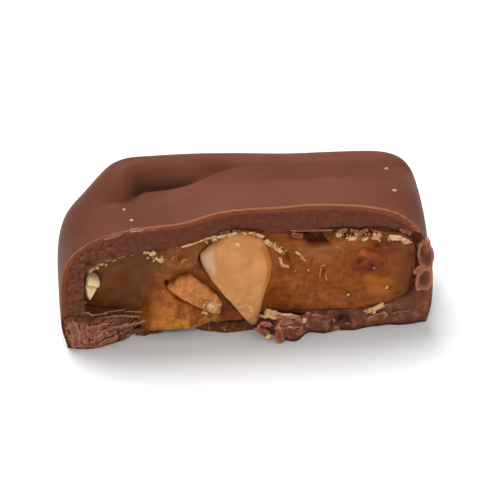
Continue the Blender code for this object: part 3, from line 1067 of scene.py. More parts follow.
CHIP_FLAKES = (
    (2.3, -0.95, 2.6, 2.2, 0.9, 0.25, -12, 55, 0.7),
    (4.0, -1.15, 2.5, 2.6, 0.8, 0.22, -12, 40, 0.9, 0.3, 0.5),
    (4.35, -1.4, 1.6, 2.4, 1.5, 0.3, 38, 0, 0.7, 0.3, 0, 2.6, 0.6),
    (3.05, -1.7, 0.8, 1.6, 0.9, 0.35, -80, 0, 0.65, 0.35, 0.4, 2.4),
    (1.75, -1.5, 2.2, 1.1, 0.5, 0.3, -20, 10, 1.0, 0.3, 0.4),
    (1.5, -1.2, 1.2, 1.4, 0.7, 0.25, -42, 10, 0.8),
    (5.9, -0.8, 2.4, 0.6, 0.4, 0.25, 60, 0, 1.0),
)
BASE_FLAKES = (
    (8.1, -0.5, 1.0, 1.3, 0.9, 0.3, 70, 0, 0.85, 0.25, 0, 2.6, 0.45),
    (6.9, -0.45, 1.9, 1.3, 0.4, 0.2, -12, 20, 0.8),
    (12.7, -0.45, 1.2, 2.1, 1.1, 0.22, 24, 20, 0.8, 0.2, 0, 4, 0.3),
    (8.6, -0.45, 0.35, 0.9, 0.5, 0.25, 10, 15, 0.8, 0.3, 0.4),
    (10.3, -0.4, 0.6, 1.2, 0.35, 0.18, -16, 20, 0.45),
    (15.0, -0.3, 1.5, 1.6, 0.35, 0.18, 6, 15, 0.35),
)
CHUNK_FLAKES = (
    (-16.5, -0.25, 2.5, 1.7, 0.9, 0.5, -70, 10, 0.8, 0.3, 0.6),
    (-16.4, -0.25, 1.1, 1.6, 0.8, 0.5, -86, 0, 0.85, 0.3, 0.6),
    (-14.2, -0.65, 2.9, 1.9, 0.6, 0.16, 8, 45, 0.8, 0.3, 0.4),
    (-12.7, -0.5, 2.35, 2.6, 0.4, 0.14, 14, 30, 0.75, 0.3, 0.3),
    (-13.4, -0.75, 1.1, 2.0, 0.5, 0.16, 22, 15, 0.75, 0.3, 0.3),
    (-11.0, 0.0, 2.2, 2.6, 0.35, 0.14, 14, 35, 0.8),
    (-14.1, 0.5, 3.35, 1.6, 0.4, 0.1, 4, 50, 0.8, 0.5, 0.4),
    (-12.5, 0.9, 3.35, 1.8, 0.32, 0.1, 5, 50, 0.6, 0.5, 0.4),
    (-10.8, 0.8, 3.2, 1.6, 0.3, 0.1, -6, 50, 0.7, 0.5, 0.4),
    (-13.3, 0.2, 3.15, 1.9, 0.4, 0.12, 8, 35, 0.7, 0.5, 0.4),
    (-11.3, 0.35, 3.0, 2.2, 0.36, 0.12, -8, 35, 0.75, 0.5, 0.4),
    (-15.0, 0.1, 3.7, 1.0, 0.4, 0.16, -30, 40, 0.6),
    (-9.1, 1.3, 0.55, 2.6, 0.9, 0.5, 4, 10, 0.1, 0.4),
)
CREAM_FLAKES = (
    (-4.5, 0.1, 11.1, 1.3, 0.26, 0.16, 16, -30, 0.85),
    (-3.3, 0.1, 11.45, 1.5, 0.3, 0.16, 13, -30, 0.95),
    (-5.5, 0.1, 10.72, 1.2, 0.22, 0.16, 16, -30, 0.7, 0.35),
    (-2.2, -0.15, 11.65, 1.1, 0.3, 0.18, 14, -20, 0.9, 0.4),
    (-1.2, -0.35, 11.95, 0.9, 0.22, 0.16, 6, -20, 0.9, 0.5),
    (-0.2, -0.4, 12.0, 0.6, 0.2, 0.16, -8, -20, 0.5, 0.5),
    (0.6, -0.35, 11.85, 0.8, 0.24, 0.16, -12, -20, 0.8, 0.5),
    (1.4, -0.3, 11.45, 0.9, 0.3, 0.18, -24, -20, 0.7, 0.4),
    (-14.7, 0.9, 8.25, 0.9, 0.35, 0.16, 48, -10, 0.45, 0.5, 0, 2.5),
    (-14.0, 0.9, 8.9, 1.0, 0.35, 0.16, 30, -10, 0.5, 0.5, 0, 2.5),
    (-13.0, 0.9, 9.25, 1.0, 0.26, 0.14, 18, -10, 0.4, 0.5, 0, 2.5),
    (-11.8, 0.8, 9.5, 0.9, 0.2, 0.14, 12, -10, 0.3, 0.5, 0, 2.5),
    (-0.9, -1.1, 11.2, 0.4, 0.3, 0.16, -10, -20, 1.0, 0.4),
    (2.2, -0.25, 10.55, 1.2, 0.45, 0.2, -36, -20, 0.65, 0.5, 0.4, 2.6),
    (3.1, -0.25, 9.8, 1.1, 0.45, 0.2, -46, -10, 0.7, 0.5, 0.4, 2.6),
    (3.4, -0.05, 8.35, 1.0, 0.28, 0.16, -76, 0, 0.65, 0.45, 0, 4, 0, 0.4),
    (3.85, -0.05, 7.7, 0.7, 0.26, 0.16, -20, 0, 0.5, 0.45, 0, 4, 0, 0.4),
    (5.1, 0.15, 8.9, 0.7, 0.28, 0.14, -50, -10, 0.5, 0.45, 0, 2.5),
    (5.6, 0.2, 8.2, 0.9, 0.28, 0.14, -58, -10, 0.25, 0.45, 0, 2.5),
    (9.0, -0.05, 10.75, 0.6, 0.35, 0.3, 15, 0, 0.5, 0.45, 0, 2.5),
    (10.35, -0.1, 10.3, 0.7, 0.4, 0.35, -10, 0, 0.8, 0.45, 0, 2.5),
    (11.45, -0.1, 10.1, 0.6, 0.35, 0.3, 20, 0, 0.75, 0.45, 0, 2.5),
    (12.5, -0.1, 10.2, 0.7, 0.4, 0.3, -15, 0, 0.6, 0.45, 0, 2.5),
    (14.4, -0.1, 10.05, 1.2, 0.45, 0.2, -14, -20, 0.95, 0.4, 0.3),
    (15.4, -0.1, 9.6, 1.2, 0.45, 0.2, -34, -20, 0.8, 0.4, 0.3),
    (11.95, -0.45, 2.1, 0.9, 0.5, 0.3, 8, 15, 0.6, 0.4, 0.3),
    (12.8, -0.45, 2.45, 1.1, 0.55, 0.3, 24, 15, 0.9, 0.4, 0.3),
    (5.5, -1.1, 1.95, 0.6, 0.45, 0.3, 70, 0, 0.95),
    (1.95, -1.8, 0.85, 0.55, 0.5, 0.3, 60, 0, 0.95),
    (2.35, -1.15, 3.0, 1.8, 0.8, 0.35, -6, -25, 0.55, 0.4, 0.4, 2.6),
    (4.0, -1.3, 2.8, 1.9, 0.42, 0.2, -13, 10, 0.8, 0.4, 0, 2.6),
    (3.1, -1.65, 2.0, 1.1, 0.6, 0.35, 62, 0, 0.25, 0.3, 0.3),
    (-8.9, 0.1, 10.1, 0.7, 0.45, 0.3, 20, 0, 0.6, 0.4),
    (-8.3, 0.0, 9.4, 0.9, 0.35, 0.25, -40, 0, 0.6, 0.4),
    (-9.5, 0.2, 10.2, 0.6, 0.3, 0.2, -10, 0, 0.6, 0.4),
    (-5.9, 0.1, 9.1, 0.8, 0.26, 0.16, 30, 10, 0.15, 0.3, 0, 4, 0, 0.5),
    (-3.4, -0.75, 4.2, 0.7, 0.5, 0.2, -50, 0, 0.8, 0.4),
    (-4.0, -0.65, 3.4, 0.6, 0.3, 0.2, -20, 0, 0.7, 0.4),
)

# Cream specks on the toffee's broken face: the brightest stand in for painted glints, the others are crumbs.
# Each speck gives its x and z, its length and width, its turn in degrees and its tone
TOFFEE_GLINTS_AND_CRUMBS = (
    (10.1, 3.25, 0.32, 0.2, 30, 1.0),
    (13.9, 3.65, 0.4, 0.25, 60, 1.0),
    (6.3, 5.95, 0.32, 0.22, 80, 0.5),
    (7.4, 5.7, 1.2, 0.16, 82, 0.3),
    (7.95, 5.3, 0.9, 0.14, 100, 0.25),
    (7.7, 6.45, 0.5, 0.14, 10, 0.35),
    (12.6, 5.9, 0.3, 0.16, 20, 0.3),
    (9.0, 8.9, 0.3, 0.16, -20, 0.3),
    (4.9, 6.4, 0.28, 0.14, 40, 0.3),
    (-7.9, 5.6, 0.3, 0.16, 70, 0.4),
    (-8.0, 3.9, 0.4, 0.14, 80, 0.35),
    (-7.0, 2.6, 0.35, 0.14, 20, 0.5),
    (-5.4, 8.3, 0.5, 0.14, 50, 0.15),
    (-6.9, 9.1, 0.5, 0.16, 60, 0.2),
    (-10.6, 8.8, 0.4, 0.16, 15, 0.3),
    (-12.4, 8.4, 0.5, 0.18, 20, 0.25),
    (-13.6, 7.9, 0.5, 0.18, 30, 0.3),
)
# Flakes on the skin that stand in for painted glints. Each speck of skin gives its x and y back from the cut,
# its length and its width
SKIN_GLINT_FLAKES = (
    (15.1, 7.8, 0.35, 0.25),
    (15.9, 3.2, 0.5, 0.25),
    (-11.6, 3.6, 0.3, 0.2),
    (-11.0, 1.5, 0.3, 0.25),
)


def build_flakes(name, rows, specks=(), skin_glint_flakes=()):
    """Flakes of one kind as one piece, with specks that lie on the toffee's broken face or on the skin; the
    skin specks and the brightest toffee specks are painted glints.
    """
    net = Net()
    for x, y, length, width in skin_glint_flakes:
        spot = skin_points(x / HALF_WIDTH, y / DEPTH, 1.0) - (0.0, CUT_Y, 0.0)
        add_flake(net, spot, (length, width, SKIN_SPECK_THICKNESS), lean=-60, tone=1.4, ragged=0.25)
    for row in rows:
        add_flake(net, row[:3], row[3:6], *row[6:])
    for x, z, length, width, turn, tone in specks:
        y = float(toffee_front(x, z) + bar_relief(x, z)[0]) - SPECK_SINK
        add_flake(net, (x, y, z), (length, width, SPECK_THICKNESS), turn=turn, tone=tone, ragged=0.25)
    return net.make(name)


# Crumbs


CRUMB_SHAPES = 5
CRUMB_CORNERS = 12
CRUMB_SEED = 12
CRUMB_SQUASH = (1.0, 0.8, 0.6)
FULL_TURNS = (6.28, 6.28, 6.28)
DENSITY = "Crumbs per Square Metre"
# Each strip gives its two ends as x, y back from the cut, z, and its width
CREAM_STRIPS = (
    ((8.6, -0.1, 10.75), (13.0, -0.1, 10.15), 0.7),
    ((13.6, -0.1, 10.1), (16.1, -0.1, 9.2), 0.6),
    ((-9.6, 0.15, 10.1), (-8.0, 0.05, 9.2), 0.7),
    ((1.9, -0.35, 10.7), (4.0, -0.2, 9.2), 0.5),
    ((-5.0, 0.0, 10.9), (-2.6, -0.1, 11.5), 0.3),
    ((-1.8, -0.4, 11.8), (1.4, -0.4, 11.6), 0.4),
    ((-14.9, 0.7, 8.2), (-12.6, 0.8, 9.3), 0.4),
    ((11.6, -0.5, 1.9), (13.4, -0.5, 2.3), 0.6),
    ((-4.0, -0.75, 4.6), (-3.2, -0.75, 3.4), 0.5),
)
CHOCOLATE_STRIPS = (
    ((4.5, 0.0, 11.1), (13.5, 0.0, 10.9), 0.4),
    ((1.4, -1.4, 1.8), (5.6, -1.4, 1.4), 1.3),
    ((6.5, -0.2, 0.9), (15.5, -0.1, 1.1), 1.4),
    ((-16.9, -0.4, 1.6), (-11.5, -0.1, 1.8), 2.4),
    ((-15.6, 0.0, 4.2), (-15.6, 0.1, 8.0), 0.7),
    ((16.6, -0.4, 4.0), (17.2, -0.3, 9.0), 0.9),
)


def crumb_shapes():
    """Angular crumbs about a millimetre across, each the hull of a few scattered corners."""
    shapes = bpy.data.collections.new("crumb_shapes")
    scatter = np.random.default_rng(CRUMB_SEED)
    for n in range(CRUMB_SHAPES):
        form = bmesh.new()
        for corner in scatter.normal(size=(CRUMB_CORNERS, 3)):
            corner = corner / np.linalg.norm(corner) * scatter.uniform(0.35, 0.5) * CRUMB_SQUASH
            form.verts.new(corner * MM)
        bmesh.ops.convex_hull(form, input=form.verts)
        bmesh.ops.recalc_face_normals(form, faces=form.faces)
        mesh = bpy.data.meshes.new(f"crumb_shape_{n}")
        form.to_mesh(mesh)
        form.free()
        shapes.objects.link(bpy.data.objects.new(f"crumb_shape_{n}", mesh))
    return shapes


def strip_mesh(name, strips):
    """The strips of surface that crumbs are scattered over, facing the camera's side."""
    net = Net()
    for start, end, width in strips:
        start, end = np.array(start), np.array(end)
        way = (end - start) / np.linalg.norm(end - start)
        aside = np.cross(way, (0.0, 1.0, 0.0)) * width / 2
        corners = np.array((start - aside, end - aside, end + aside, start + aside))
        net.faces.append(net.add(corners + (0.0, CUT_Y, 0.0)))
    return net.make(name, smooth=False)


def scatter_tree():
    """A node tree that strews crumbs over a surface: how many, how large, which shapes, and their tones."""
    tree = bpy.data.node_groups.new("crumb_scatter", "GeometryNodeTree")
    for name, kind in (
        ("Geometry", "Geometry"),
        ("Shapes", "Collection"),
        (DENSITY, "Float"),
        ("Least Size", "Float"),
        ("Greatest Size", "Float"),
        ("Seed", "Int"),
        ("Material", "Material"),
    ):
        tree.interface.new_socket(name, in_out="INPUT", socket_type="NodeSocket" + kind)
    tree.interface.new_socket("Geometry", in_out="OUTPUT", socket_type="NodeSocketGeometry")

    def node(kind, inputs=(), **settings):
        """Adds a node, applies its settings, fills or links its inputs, and gives its outputs."""
        made = tree.nodes.new(kind)
        for name, value in settings.items():
            setattr(made, name, value)
        for key, value in dict(inputs).items():
            if isinstance(value, bpy.types.NodeSocket):
                tree.links.new(value, made.inputs[key])
            else:
                made.inputs[key].default_value = value
        return made.outputs

    def between(low, high, seed):
        """A random number for each crumb."""
        inputs = {2: low, 3: high, "Seed": seed}
        return node("FunctionNodeRandomValue", inputs, data_type="FLOAT")[1]

    given = node("NodeGroupInput")
    inputs = {"Mesh": given["Geometry"], "Density": given[DENSITY], "Seed": given["Seed"]}
    points = node("GeometryNodeDistributePointsOnFaces", inputs)["Points"]
    inputs = {"Collection": given["Shapes"], "Separate Children": True, "Reset Children": True}
    shapes = node("GeometryNodeCollectionInfo", inputs)[0]
    inputs = {0: (0, 0, 0), 1: FULL_TURNS, "Seed": 1}
    turn = node("FunctionNodeRandomValue", inputs, data_type="FLOAT_VECTOR")[0]
    size = between(given["Least Size"], given["Greatest Size"], 2)
    inputs = {"Points": points, "Instance": shapes, "Pick Instance": True, "Rotation": turn, "Scale": size}
    strewn = node("GeometryNodeInstanceOnPoints", inputs)[0]
    inputs = {"Geometry": strewn, "Name": "tone", "Value": between(0.0, 1.0, 3)}
    toned = node("GeometryNodeStoreNamedAttribute", inputs, data_type="FLOAT", domain="INSTANCE")[0]
    real = node("GeometryNodeRealizeInstances", {"Geometry": toned})[0]
    coated = node("GeometryNodeSetMaterial", {"Geometry": real, "Material": given["Material"]})[0]
    node("NodeGroupOutput", {"Geometry": coated})
    return tree


def strew(name, emitter, tree, wanted):
    """Runs the scatter on an emitter, with the wanted inputs, and gives its result as a plain piece."""
    modifier = emitter.modifiers.new("scatter", "NODES")
    modifier.node_group = tree
    for item in tree.interface.items_tree:
        if item.in_out == "INPUT" and item.name in wanted:
            modifier[item.identifier] = wanted[item.name]
    bpy.context.view_layer.update()
    evaluated = emitter.evaluated_get(bpy.context.evaluated_depsgraph_get())
    mesh = bpy.data.meshes.new_from_object(evaluated)
    mesh.name = name
    piece = add_object(name, mesh)
    emitter.modifiers.remove(modifier)
    bpy.data.objects.remove(emitter, do_unlink=True)
    return piece


# Materials


def chocolate_material(looks):
    """Milk chocolate: satin skin outside, matte where it was cut, pale along its broken edges, with painted
    shade and a painted highlight.
    """
    finish = Finish("satin_chocolate", IOR=1.12, Specular_Ior_Level=0.4)
    x, y, z = finish.axes()
    cut, edge, pale, dark, fold = map(finish.value, ("cut", "edge", "pale", "dark", "fold"))
    cloudy = finish.noise(5.0, 3.0)
    mottle = finish.noise(0.5, 3.0, 0.6)
    streaks = finish.noise(0.4, 3.0, 0.6, stretch=(0.45, 1.0, 1.3))
    upright = z.rise(2.4, 3.6)

    # Painted shade on the skin: darker towards the left end and in a band behind the fold's lip, over random
    # clouds and mottling
    behind = y.rise(-1.0, 0.8) * y.rise(4.2, 3.0) * x.rise(-5.0, -1.0) * z.rise(12.0, 13.2) * 0.55
    shaded = cloudy.rise(0.35, 0.65) * 0.5 + x.rise(-4.0, -13.0) * 0.7 + behind + (mottle - 0.5) * 0.5
    # fold lays painted shade into the crease and on the fold's steep front
    skin = finish.layers(looks.skin, (shaded, looks.skin_shade), (fold * 0.8, looks.hollow))

    # Painted highlight: a bright line along the cut edge over the burr, narrower at the left and broken up at
    # the right end, with a red band below it
    reach = edge + x.rise(-10.0, -14.0) * 0.12 + (streaks - 0.5) * 0.25
    lit = reach.rise(0.32, 0.14) * upright * (1 - x.rise(12.5, 14.5) * mottle.rise(0.6, 0.4) * 0.5)
    red = reach.rise(0.2, 0.4) * reach.rise(0.85, 0.5) * upright * 0.75
    burr = finish.blend(x.rise(-9.0, -13.0), looks.edge, looks.edge_left)
    patches = finish.noise(0.7, 3.0, 0.65).rise(0.48, 0.66) * (1 - upright)
    crumbled = (x + 2.0).bump(4.6) * z.rise(1.9, 1.2) * (mottle * 1.6).least(1.0)
    left_wall = x.rise(-10.0, -13.0) * upright * edge.rise(0.35, 0.8)
    flesh = finish.layers(
        looks.cut_shade,
        (mottle.rise(0.3, 0.7) * 0.65 + streaks.rise(0.35, 0.65) * 0.35, looks.cut),
        (red, looks.edge_shade),
        (lit, burr),
        (pale * 0.5 + patches * 0.3, looks.flake),
        (crumbled * 0.8, looks.olive),
        (crumbled * finish.noise(0.4, 3.0, 0.7).rise(0.5, 0.62), looks.crumb_shade),
        (finish.noise(0.38, 3.0, 0.7).rise(0.52, 0.64) * left_wall * 0.18, looks.flake),
        (finish.noise(0.5, 3.0, 0.7).rise(0.46, 0.34) * left_wall * 0.6, looks.hollow),
        (dark * 0.8, looks.hollow),
    )
    grains = finish.noise(0.16, 2.0, 0.6)
    skin_grain = grains * (0.25 + x.rise(8.0, 15.0) * 0.6) + finish.noise(1.8) * 0.5
    height = skin_grain * (1 - cut) * 0.7 + (grains * 0.6 + streaks * 0.25) * cut
    roughness = 0.42 + 0.1 * cloudy + 0.16 * cut
    return finish.dress(finish.blend(cut, skin, flesh), roughness, height, 0.06, 0.6)


def toffee_material(looks):
    """Brittle toffee: amber and glossy, deep olive at the left, clouded and stained at the right, with
    painted shade in its gaps and painted highlights on the lump.
    """
    finish = Finish(
        "brittle_toffee",
        Specular_Ior_Level=0.12,
        Subsurface_Weight=0.25,
        Subsurface_Scale=0.0012,
        Subsurface_Radius=(1.0, 0.45, 0.12),
    )
    x, _, z = finish.axes()
    gap, crescent = map(finish.value, ("gap", "crescent"))
    warp = finish.noise(1.6, 3.0) - 0.5
    wx = x + warp * 2.0
    wz = z + (finish.noise(2.1) - 0.5) * 2.0
    mottle = finish.noise(0.7, 4.0, 0.65)
    veins = finish.noise(1.3, 3.0, 0.6, stretch=(0.75, 1.0, 1.0))
    depths = finish.noise(1.5, 2.0, 0.45)
    strokes = finish.noise(0.45, 2.0, 0.6, stretch=(1.6, 1.0, 0.7))
    wisps = finish.noise(2.2, 4.0, 0.6, 0.8, (0.7, 1.0, 1.0))
    threads = finish.noise(0.8, 3.0, 0.6, 0.6, (0.8, 1.0, 1.1))

    left = (x + warp * 2.4 - (z - 6.0) * 0.3).rise(-7.4, -10.0)
    right = 1 - left
    lump = wx.rise(-9.9, -8.6) * wx.rise(-2.2, -3.6) * wz.rise(7.4, 5.0)
    upper = wx.rise(-2.0, -3.2) * wz.rise(6.0, 7.6)
    cloud = wx.rise(4.6, 6.4) * wx.rise(11.0, 9.0) * wz.rise(6.6, 7.8) * 0.8
    stain = wx.rise(10.4, 11.8) * wx.rise(14.8, 13.2) * wz.rise(4.2, 5.6) * wz.rise(9.2, 7.8)
    maroon = (wx - 11.8).bump(2.6) * (wz - 6.1).bump(1.7)
    maroon = maroon.most((wx - 13.6).bump(2.2) * (wz - 8.5).bump(1.6))
    spark = (wx - 11.7).bump(0.9) * (z - 7.5).bump(0.55)
    glow = wx.rise(11.4, 12.4) * wx.rise(14.8, 13.6) * wz.rise(3.0, 3.7) * wz.rise(5.2, 4.5)
    # Painted shade between the two almonds, low down
    shade_between_almonds = (wx + 2.1).bump(1.9) * (z - 3.0).bump(2.3)
    # Painted highlight: glossy bright streaks on the lump, strongest along its foot
    bright = lump * wz.rise(3.4, 2.2) * mottle.rise(0.35, 0.6)
    bright = bright.most(lump * wz.rise(6.5, 5.0) * veins.rise(0.58, 0.7) * 0.6)
    honey = finish.blend((depths + wz * 0.03 - 0.1).rise(0.35, 0.62), looks.honey, looks.honey_shade)
    fibrous = finish.blend(strokes.rise(0.4, 0.7) * 0.7, looks.end, looks.cloud)
    olive = finish.blend(veins.rise(0.3, 0.7), looks.olive, looks.olive_light)
    colour = finish.layers(
        looks.brown,
        (mottle.rise(0.25, 0.75), looks.amber),
        (lump, honey),
        (upper * 0.9, fibrous),
        (left, olive),
        (cloud, looks.cloud),
        (stain * veins.rise(0.40, 0.58) * 0.9, looks.stain),
        (maroon * 1.1, looks.stain),
        (spark * 0.8, looks.spark),
        (glow * 0.8, looks.glow),
        (crescent * 0.8, looks.crescent),
        (x.rise(13.6, 15.2) * 0.7, looks.end),
        (gap.rise(0.2, 0.75) * 0.95, looks.crevice),
        (shade_between_almonds * 0.8, looks.crevice),
        (bright * 0.65, looks.honey_highlight),
        (wisps.rise(0.52, 0.68) * 0.4 * right, looks.glow),
        (wisps.rise(0.48, 0.34) * 0.6 * right, looks.brown),
        (threads.rise(0.58, 0.74) * 0.4 * right, looks.cloud),
        (threads.rise(0.42, 0.28) * 0.45, looks.crevice),
    )
    height = mottle * 0.4 + veins * 0.3 + threads * 0.3
    roughness = (0.08 + 0.24 * mottle).most(gap * 0.8)
    return finish.dress(colour, roughness, height, 0.25, 0.55)


def almond_material(looks):
    """Roasted almond: pale flesh with fibres and toasted specks, and a brown skin round it."""
    finish = Finish(
        "roasted_almond",
        Specular_Ior_Level=0.15,
        Subsurface_Weight=0.15,
        Subsurface_Scale=0.0008,
        Subsurface_Radius=(1.0, 0.5, 0.2),
    )
    x, _, z = finish.axes()
    side, reach, small, pale = map(finish.value, ("side", "reach", "small", "pale"))
    soft = finish.noise(1.4, 3.0)
    fibres = finish.noise(1.0, 3.0, 0.6, stretch=(2.6, 1.0, 0.6))
    grit = finish.noise(0.55, 3.0, 0.75)
    specks = finish.noise(0.3, 2.0, 0.7).rise(0.56, 0.66) * z.rise(8.0, 4.5)
    facet = (x * -1 - 2.75 - (z - 9.0) * 0.12).rise(0.0, 0.5) * z.rise(7.2, 8.6) * (1 - side) * 0.75
    tip = (x * 0.75 - z).rise(-7.6, -5.4) * small
    light = (small * 0.35 + tip * 0.8 + z.rise(6.0, 3.0)).least(1.0)
    # Paler along the lower left rim of the large almond's face
    pale_left_rim = reach.rise(0.8, 0.96) * x.rise(0.6, -0.6) * z.rise(8.0, 6.5) * (1 - small)
    overlap = reach.rise(0.79, 0.87) * x.rise(0.7, 1.5) * z.rise(5.0, 6.8) * z.rise(11.0, 10.2)
    colour = finish.layers(
        looks.almond_shade,
        (soft.rise(0.3, 0.7), looks.almond),
        (fibres.rise(0.55, 0.8) * 0.25, looks.almond_light),
        (facet, looks.facet),
        (small * 0.5, looks.crescent),
        (grit.rise(0.5, 0.36) * small * 0.7, looks.glow),
        ((grit + tip * 0.1).rise(0.52, 0.62) * light * 0.8, looks.almond_light),
        (pale_left_rim * grit.rise(0.3, 0.55) * 0.8, looks.almond_light),
        (specks * 0.6, looks.toast),
        (reach.rise(0.86, 0.99) * 0.25, looks.toast),
        (pale, looks.splinter),
        (side * (1 - pale * 0.7), looks.nut_skin),
        (overlap * 0.9, looks.crescent),
    )
    height = fibres * 0.6 + finish.noise(0.25) * 0.4
    return finish.dress(colour, 0.42 + 0.2 * soft, height, 0.08, 0.6)


def flake_material(looks):
    """Broken chocolate: red-brown plates with pale pinkish rims and darker pits, painted shade where the mesh
    carries it, and near-white bloom that on the skin specks is a painted glint.
    """
    finish = Finish("broken_chocolate", IOR=1.15, Specular_Ior_Level=0.4)
    tone, rim, dark = map(finish.value, ("tone", "rim", "dark"))
    mottle = finish.noise(0.35, 3.0, 0.6)
    pits = finish.noise(0.22, 2.0, 0.6).rise(0.42, 0.30)
    colour = finish.layers(
        looks.cut_shade,
        ((tone + mottle * 0.8 - 0.4).rise(0.0, 1.0), looks.flake_body),
        ((rim * (0.35 + 0.65 * tone)).least(1.0), looks.flake),
        (finish.noise(0.18, 2.0, 0.6).rise(0.56, 0.68) * 0.45, looks.flake),
        (tone.rise(1.0, 1.5), looks.bloom_and_glint),
        ((pits * 0.5).most(dark * 0.85), looks.hollow),
    )
    return finish.dress(colour, 0.38 + 0.2 * mottle, mottle, 0.08, 0.8)


def cream_material(looks):
    """Cream flakes and crumbs of almond and toffee, from ochre to nearly white."""
    finish = Finish(
        "cream_crumb", Specular_Ior_Level=0.15, Subsurface_Weight=0.1, Subsurface_Scale=0.0004
    )
    mottle = finish.noise(0.4, 3.0, 0.6)
    tone = finish.value("tone") + (mottle - 0.5) * 1.3
    colour = finish.blend(tone.rise(0.1, 0.95), looks.crumb_shade, looks.crumb)
    return finish.dress(colour, 0.4 + 0.2 * mottle, mottle, 0.12, 0.8)


def floor_material(looks):
    finish = Finish("studio_floor", Base_Color=(*looks.floor, 1.0), Specular_Ior_Level=0.2)
    return finish.feed({"Roughness": 0.7 + 0.2 * finish.noise(20.0)})


# Settings


def tint(name, description, default):
    """A colour setting."""
    return FloatVectorProperty(
        name=name, description=description, subtype="COLOR", size=3, min=0.0, max=1.0, default=default
    )


def amount(name, description, default, **limits_or_unit):
    """A number setting."""
    return FloatProperty(name=name, description=description, default=default, **limits_or_unit)


class ToffeeLooks(bpy.types.PropertyGroup):
    """Colours of the toffee's materials and of the stage."""

    skin: tint("Skin", "Chocolate outside", (0.140, 0.047, 0.0275))
    # Also the colour of the painted shade at the skin's left end and behind the fold's lip
    skin_shade: tint("Skin shade", "Darker clouds in the chocolate outside", (0.104, 0.033, 0.0185))
    cut: tint("Cut", "Chocolate where it was cut", (0.140, 0.045, 0.026))
    cut_shade: tint("Cut shade", "Darker streaks of the cut chocolate", (0.09, 0.027, 0.015))
    # Painted highlight along the burr at the cut edge; edge_left is its colour at the left
    edge: tint("Lit edge", "Burr along the edge of the cut", (0.38, 0.145, 0.07))
    edge_left: tint("Lit edge, left", "Burr at the left of the cut", (0.33, 0.14, 0.085))
    edge_shade: tint("Edge shade", "Red band under the burr", (0.22, 0.06, 0.024))
    flake: tint("Broken edge", "Pale edges of broken chocolate", (0.50, 0.21, 0.13))
    # Near-white bloom of broken chocolate, and the colour of the painted glints on the skin
    bloom_and_glint: tint("Bloom", "Nearly white parts of broken chocolate", (0.62, 0.40, 0.33))
    # The colour of painted shade in pits, hollows, cracks, gaps and the fold's crease, and of the spots on
    # the left wall
    hollow: tint("Hollow", "Deep pits in the broken chocolate", (0.035, 0.010, 0.006))
    amber: tint("Amber", "Toffee at the right", (0.335, 0.085, 0.010))
    brown: tint("Brown", "Darker toffee at the right", (0.197, 0.0445, 0.0055))
    honey: tint("Honey", "Bright lump left of the almonds", (0.43, 0.122, 0.016))
    # Painted highlight on the lump
    honey_highlight: tint("Honey light", "Thin bright foot of the lump", (0.62, 0.26, 0.045))
    honey_shade: tint("Honey shade", "Darker parts of the lump", (0.22, 0.052, 0.007))
    olive: tint("Olive", "Dark toffee at the left", (0.118, 0.034, 0.006))
    olive_light: tint("Olive light", "Lighter toffee at the left", (0.155, 0.047, 0.009))
    cloud: tint("Cloud", "Clouded toffee", (0.31, 0.108, 0.03))
    stain: tint("Stain", "Maroon stains in the toffee", (0.14, 0.020, 0.006))
    glow: tint("Glow", "Orange glow in the toffee", (0.44, 0.115, 0.016))
    crescent: tint("Crescent", "Orange toffee beside the large almond", (0.45, 0.135, 0.018))
    spark: tint("Spark", "Orange-red spot in the stained toffee", (0.50, 0.085, 0.008))
    end: tint("End", "Toffee at the right end", (0.17, 0.055, 0.013))
    # The colour of painted shade in the gaps round the almonds and between them, and of the darker threads
    crevice: tint("Crevice", "Gaps round the almonds", (0.065, 0.010, 0.003))
    almond: tint("Almond", "Almond flesh", (0.60, 0.27, 0.088))
    almond_shade: tint("Almond shade", "Darker almond flesh", (0.51, 0.20, 0.058))
    almond_light: tint("Almond light", "Pale fibres in the almond", (0.66, 0.38, 0.20))
    facet: tint("Facet", "Grey facet at the large almond's upper left", (0.66, 0.46, 0.30))
    splinter: tint("Splinter", "Pale almond at the left end", (0.78, 0.58, 0.32))
    toast: tint("Toasted", "Toasted specks in the almond", (0.34, 0.10, 0.03))
    nut_skin: tint("Almond skin", "Brown skin of the almond", (0.34, 0.12, 0.034))
    flake_body: tint("Flake", "Body of a chocolate flake", (0.25, 0.09, 0.052))
    crumb_shade: tint("Crumb shade", "Ochre crumbs", (0.40, 0.165, 0.045))
    crumb: tint("Crumb", "Cream crumbs and flakes", (0.68, 0.46, 0.22))
    floor: tint("Floor", "Studio floor", (0.86, 0.88, 0.89))


class ToffeeSizes(bpy.types.PropertyGroup):
    """Sizes of the loose crumbs and of the layers of broken chocolate, in millimetres."""

    least_crumb: amount("Least crumb", "Smallest crumb, in mm", 0.2, min=0.05)
    greatest_crumb: amount("Greatest crumb", "Largest crumb, in mm", 0.7, min=0.1)
    cream_crumbs: amount("Cream crumbs", "Crumbs of almond and toffee per square millimetre", 9.0, min=0.0)
    chocolate_crumbs: amount("Chocolate crumbs", "Crumbs of chocolate per square millimetre", 3.0, min=0.0)
    crust_depth: amount("Crust depth", "How far the layers of the broken base stand out, in mm", 0.5, min=0.0)


class ToffeeStage(bpy.types.PropertyGroup):
    """Light and camera of the stage."""

    world_strength: amount("World", "Strength of the white room", 0.45, min=0.0)
    key_power: amount("Key light", "Power of the light above", 3.3, unit="POWER")
    fill_power: amount("Fill light", "Power of the front light", 0.28, unit="POWER")
    glint_power: amount("Glint", "Power of the small lights that make wet glints", 0.35, unit="POWER")
    azimuth: amount("Azimuth", "The camera's direction", math.radians(-7.7), subtype="ANGLE")
    elevation: amount("Elevation", "The camera's height above the table", math.radians(33.0), subtype="ANGLE")
    distance: amount("Distance", "From camera to toffee", 0.55, unit="LENGTH")
    share_of_width: amount("Framing", "The toffee's share of the view", 0.78, subtype="FACTOR")


MATERIALS = {}


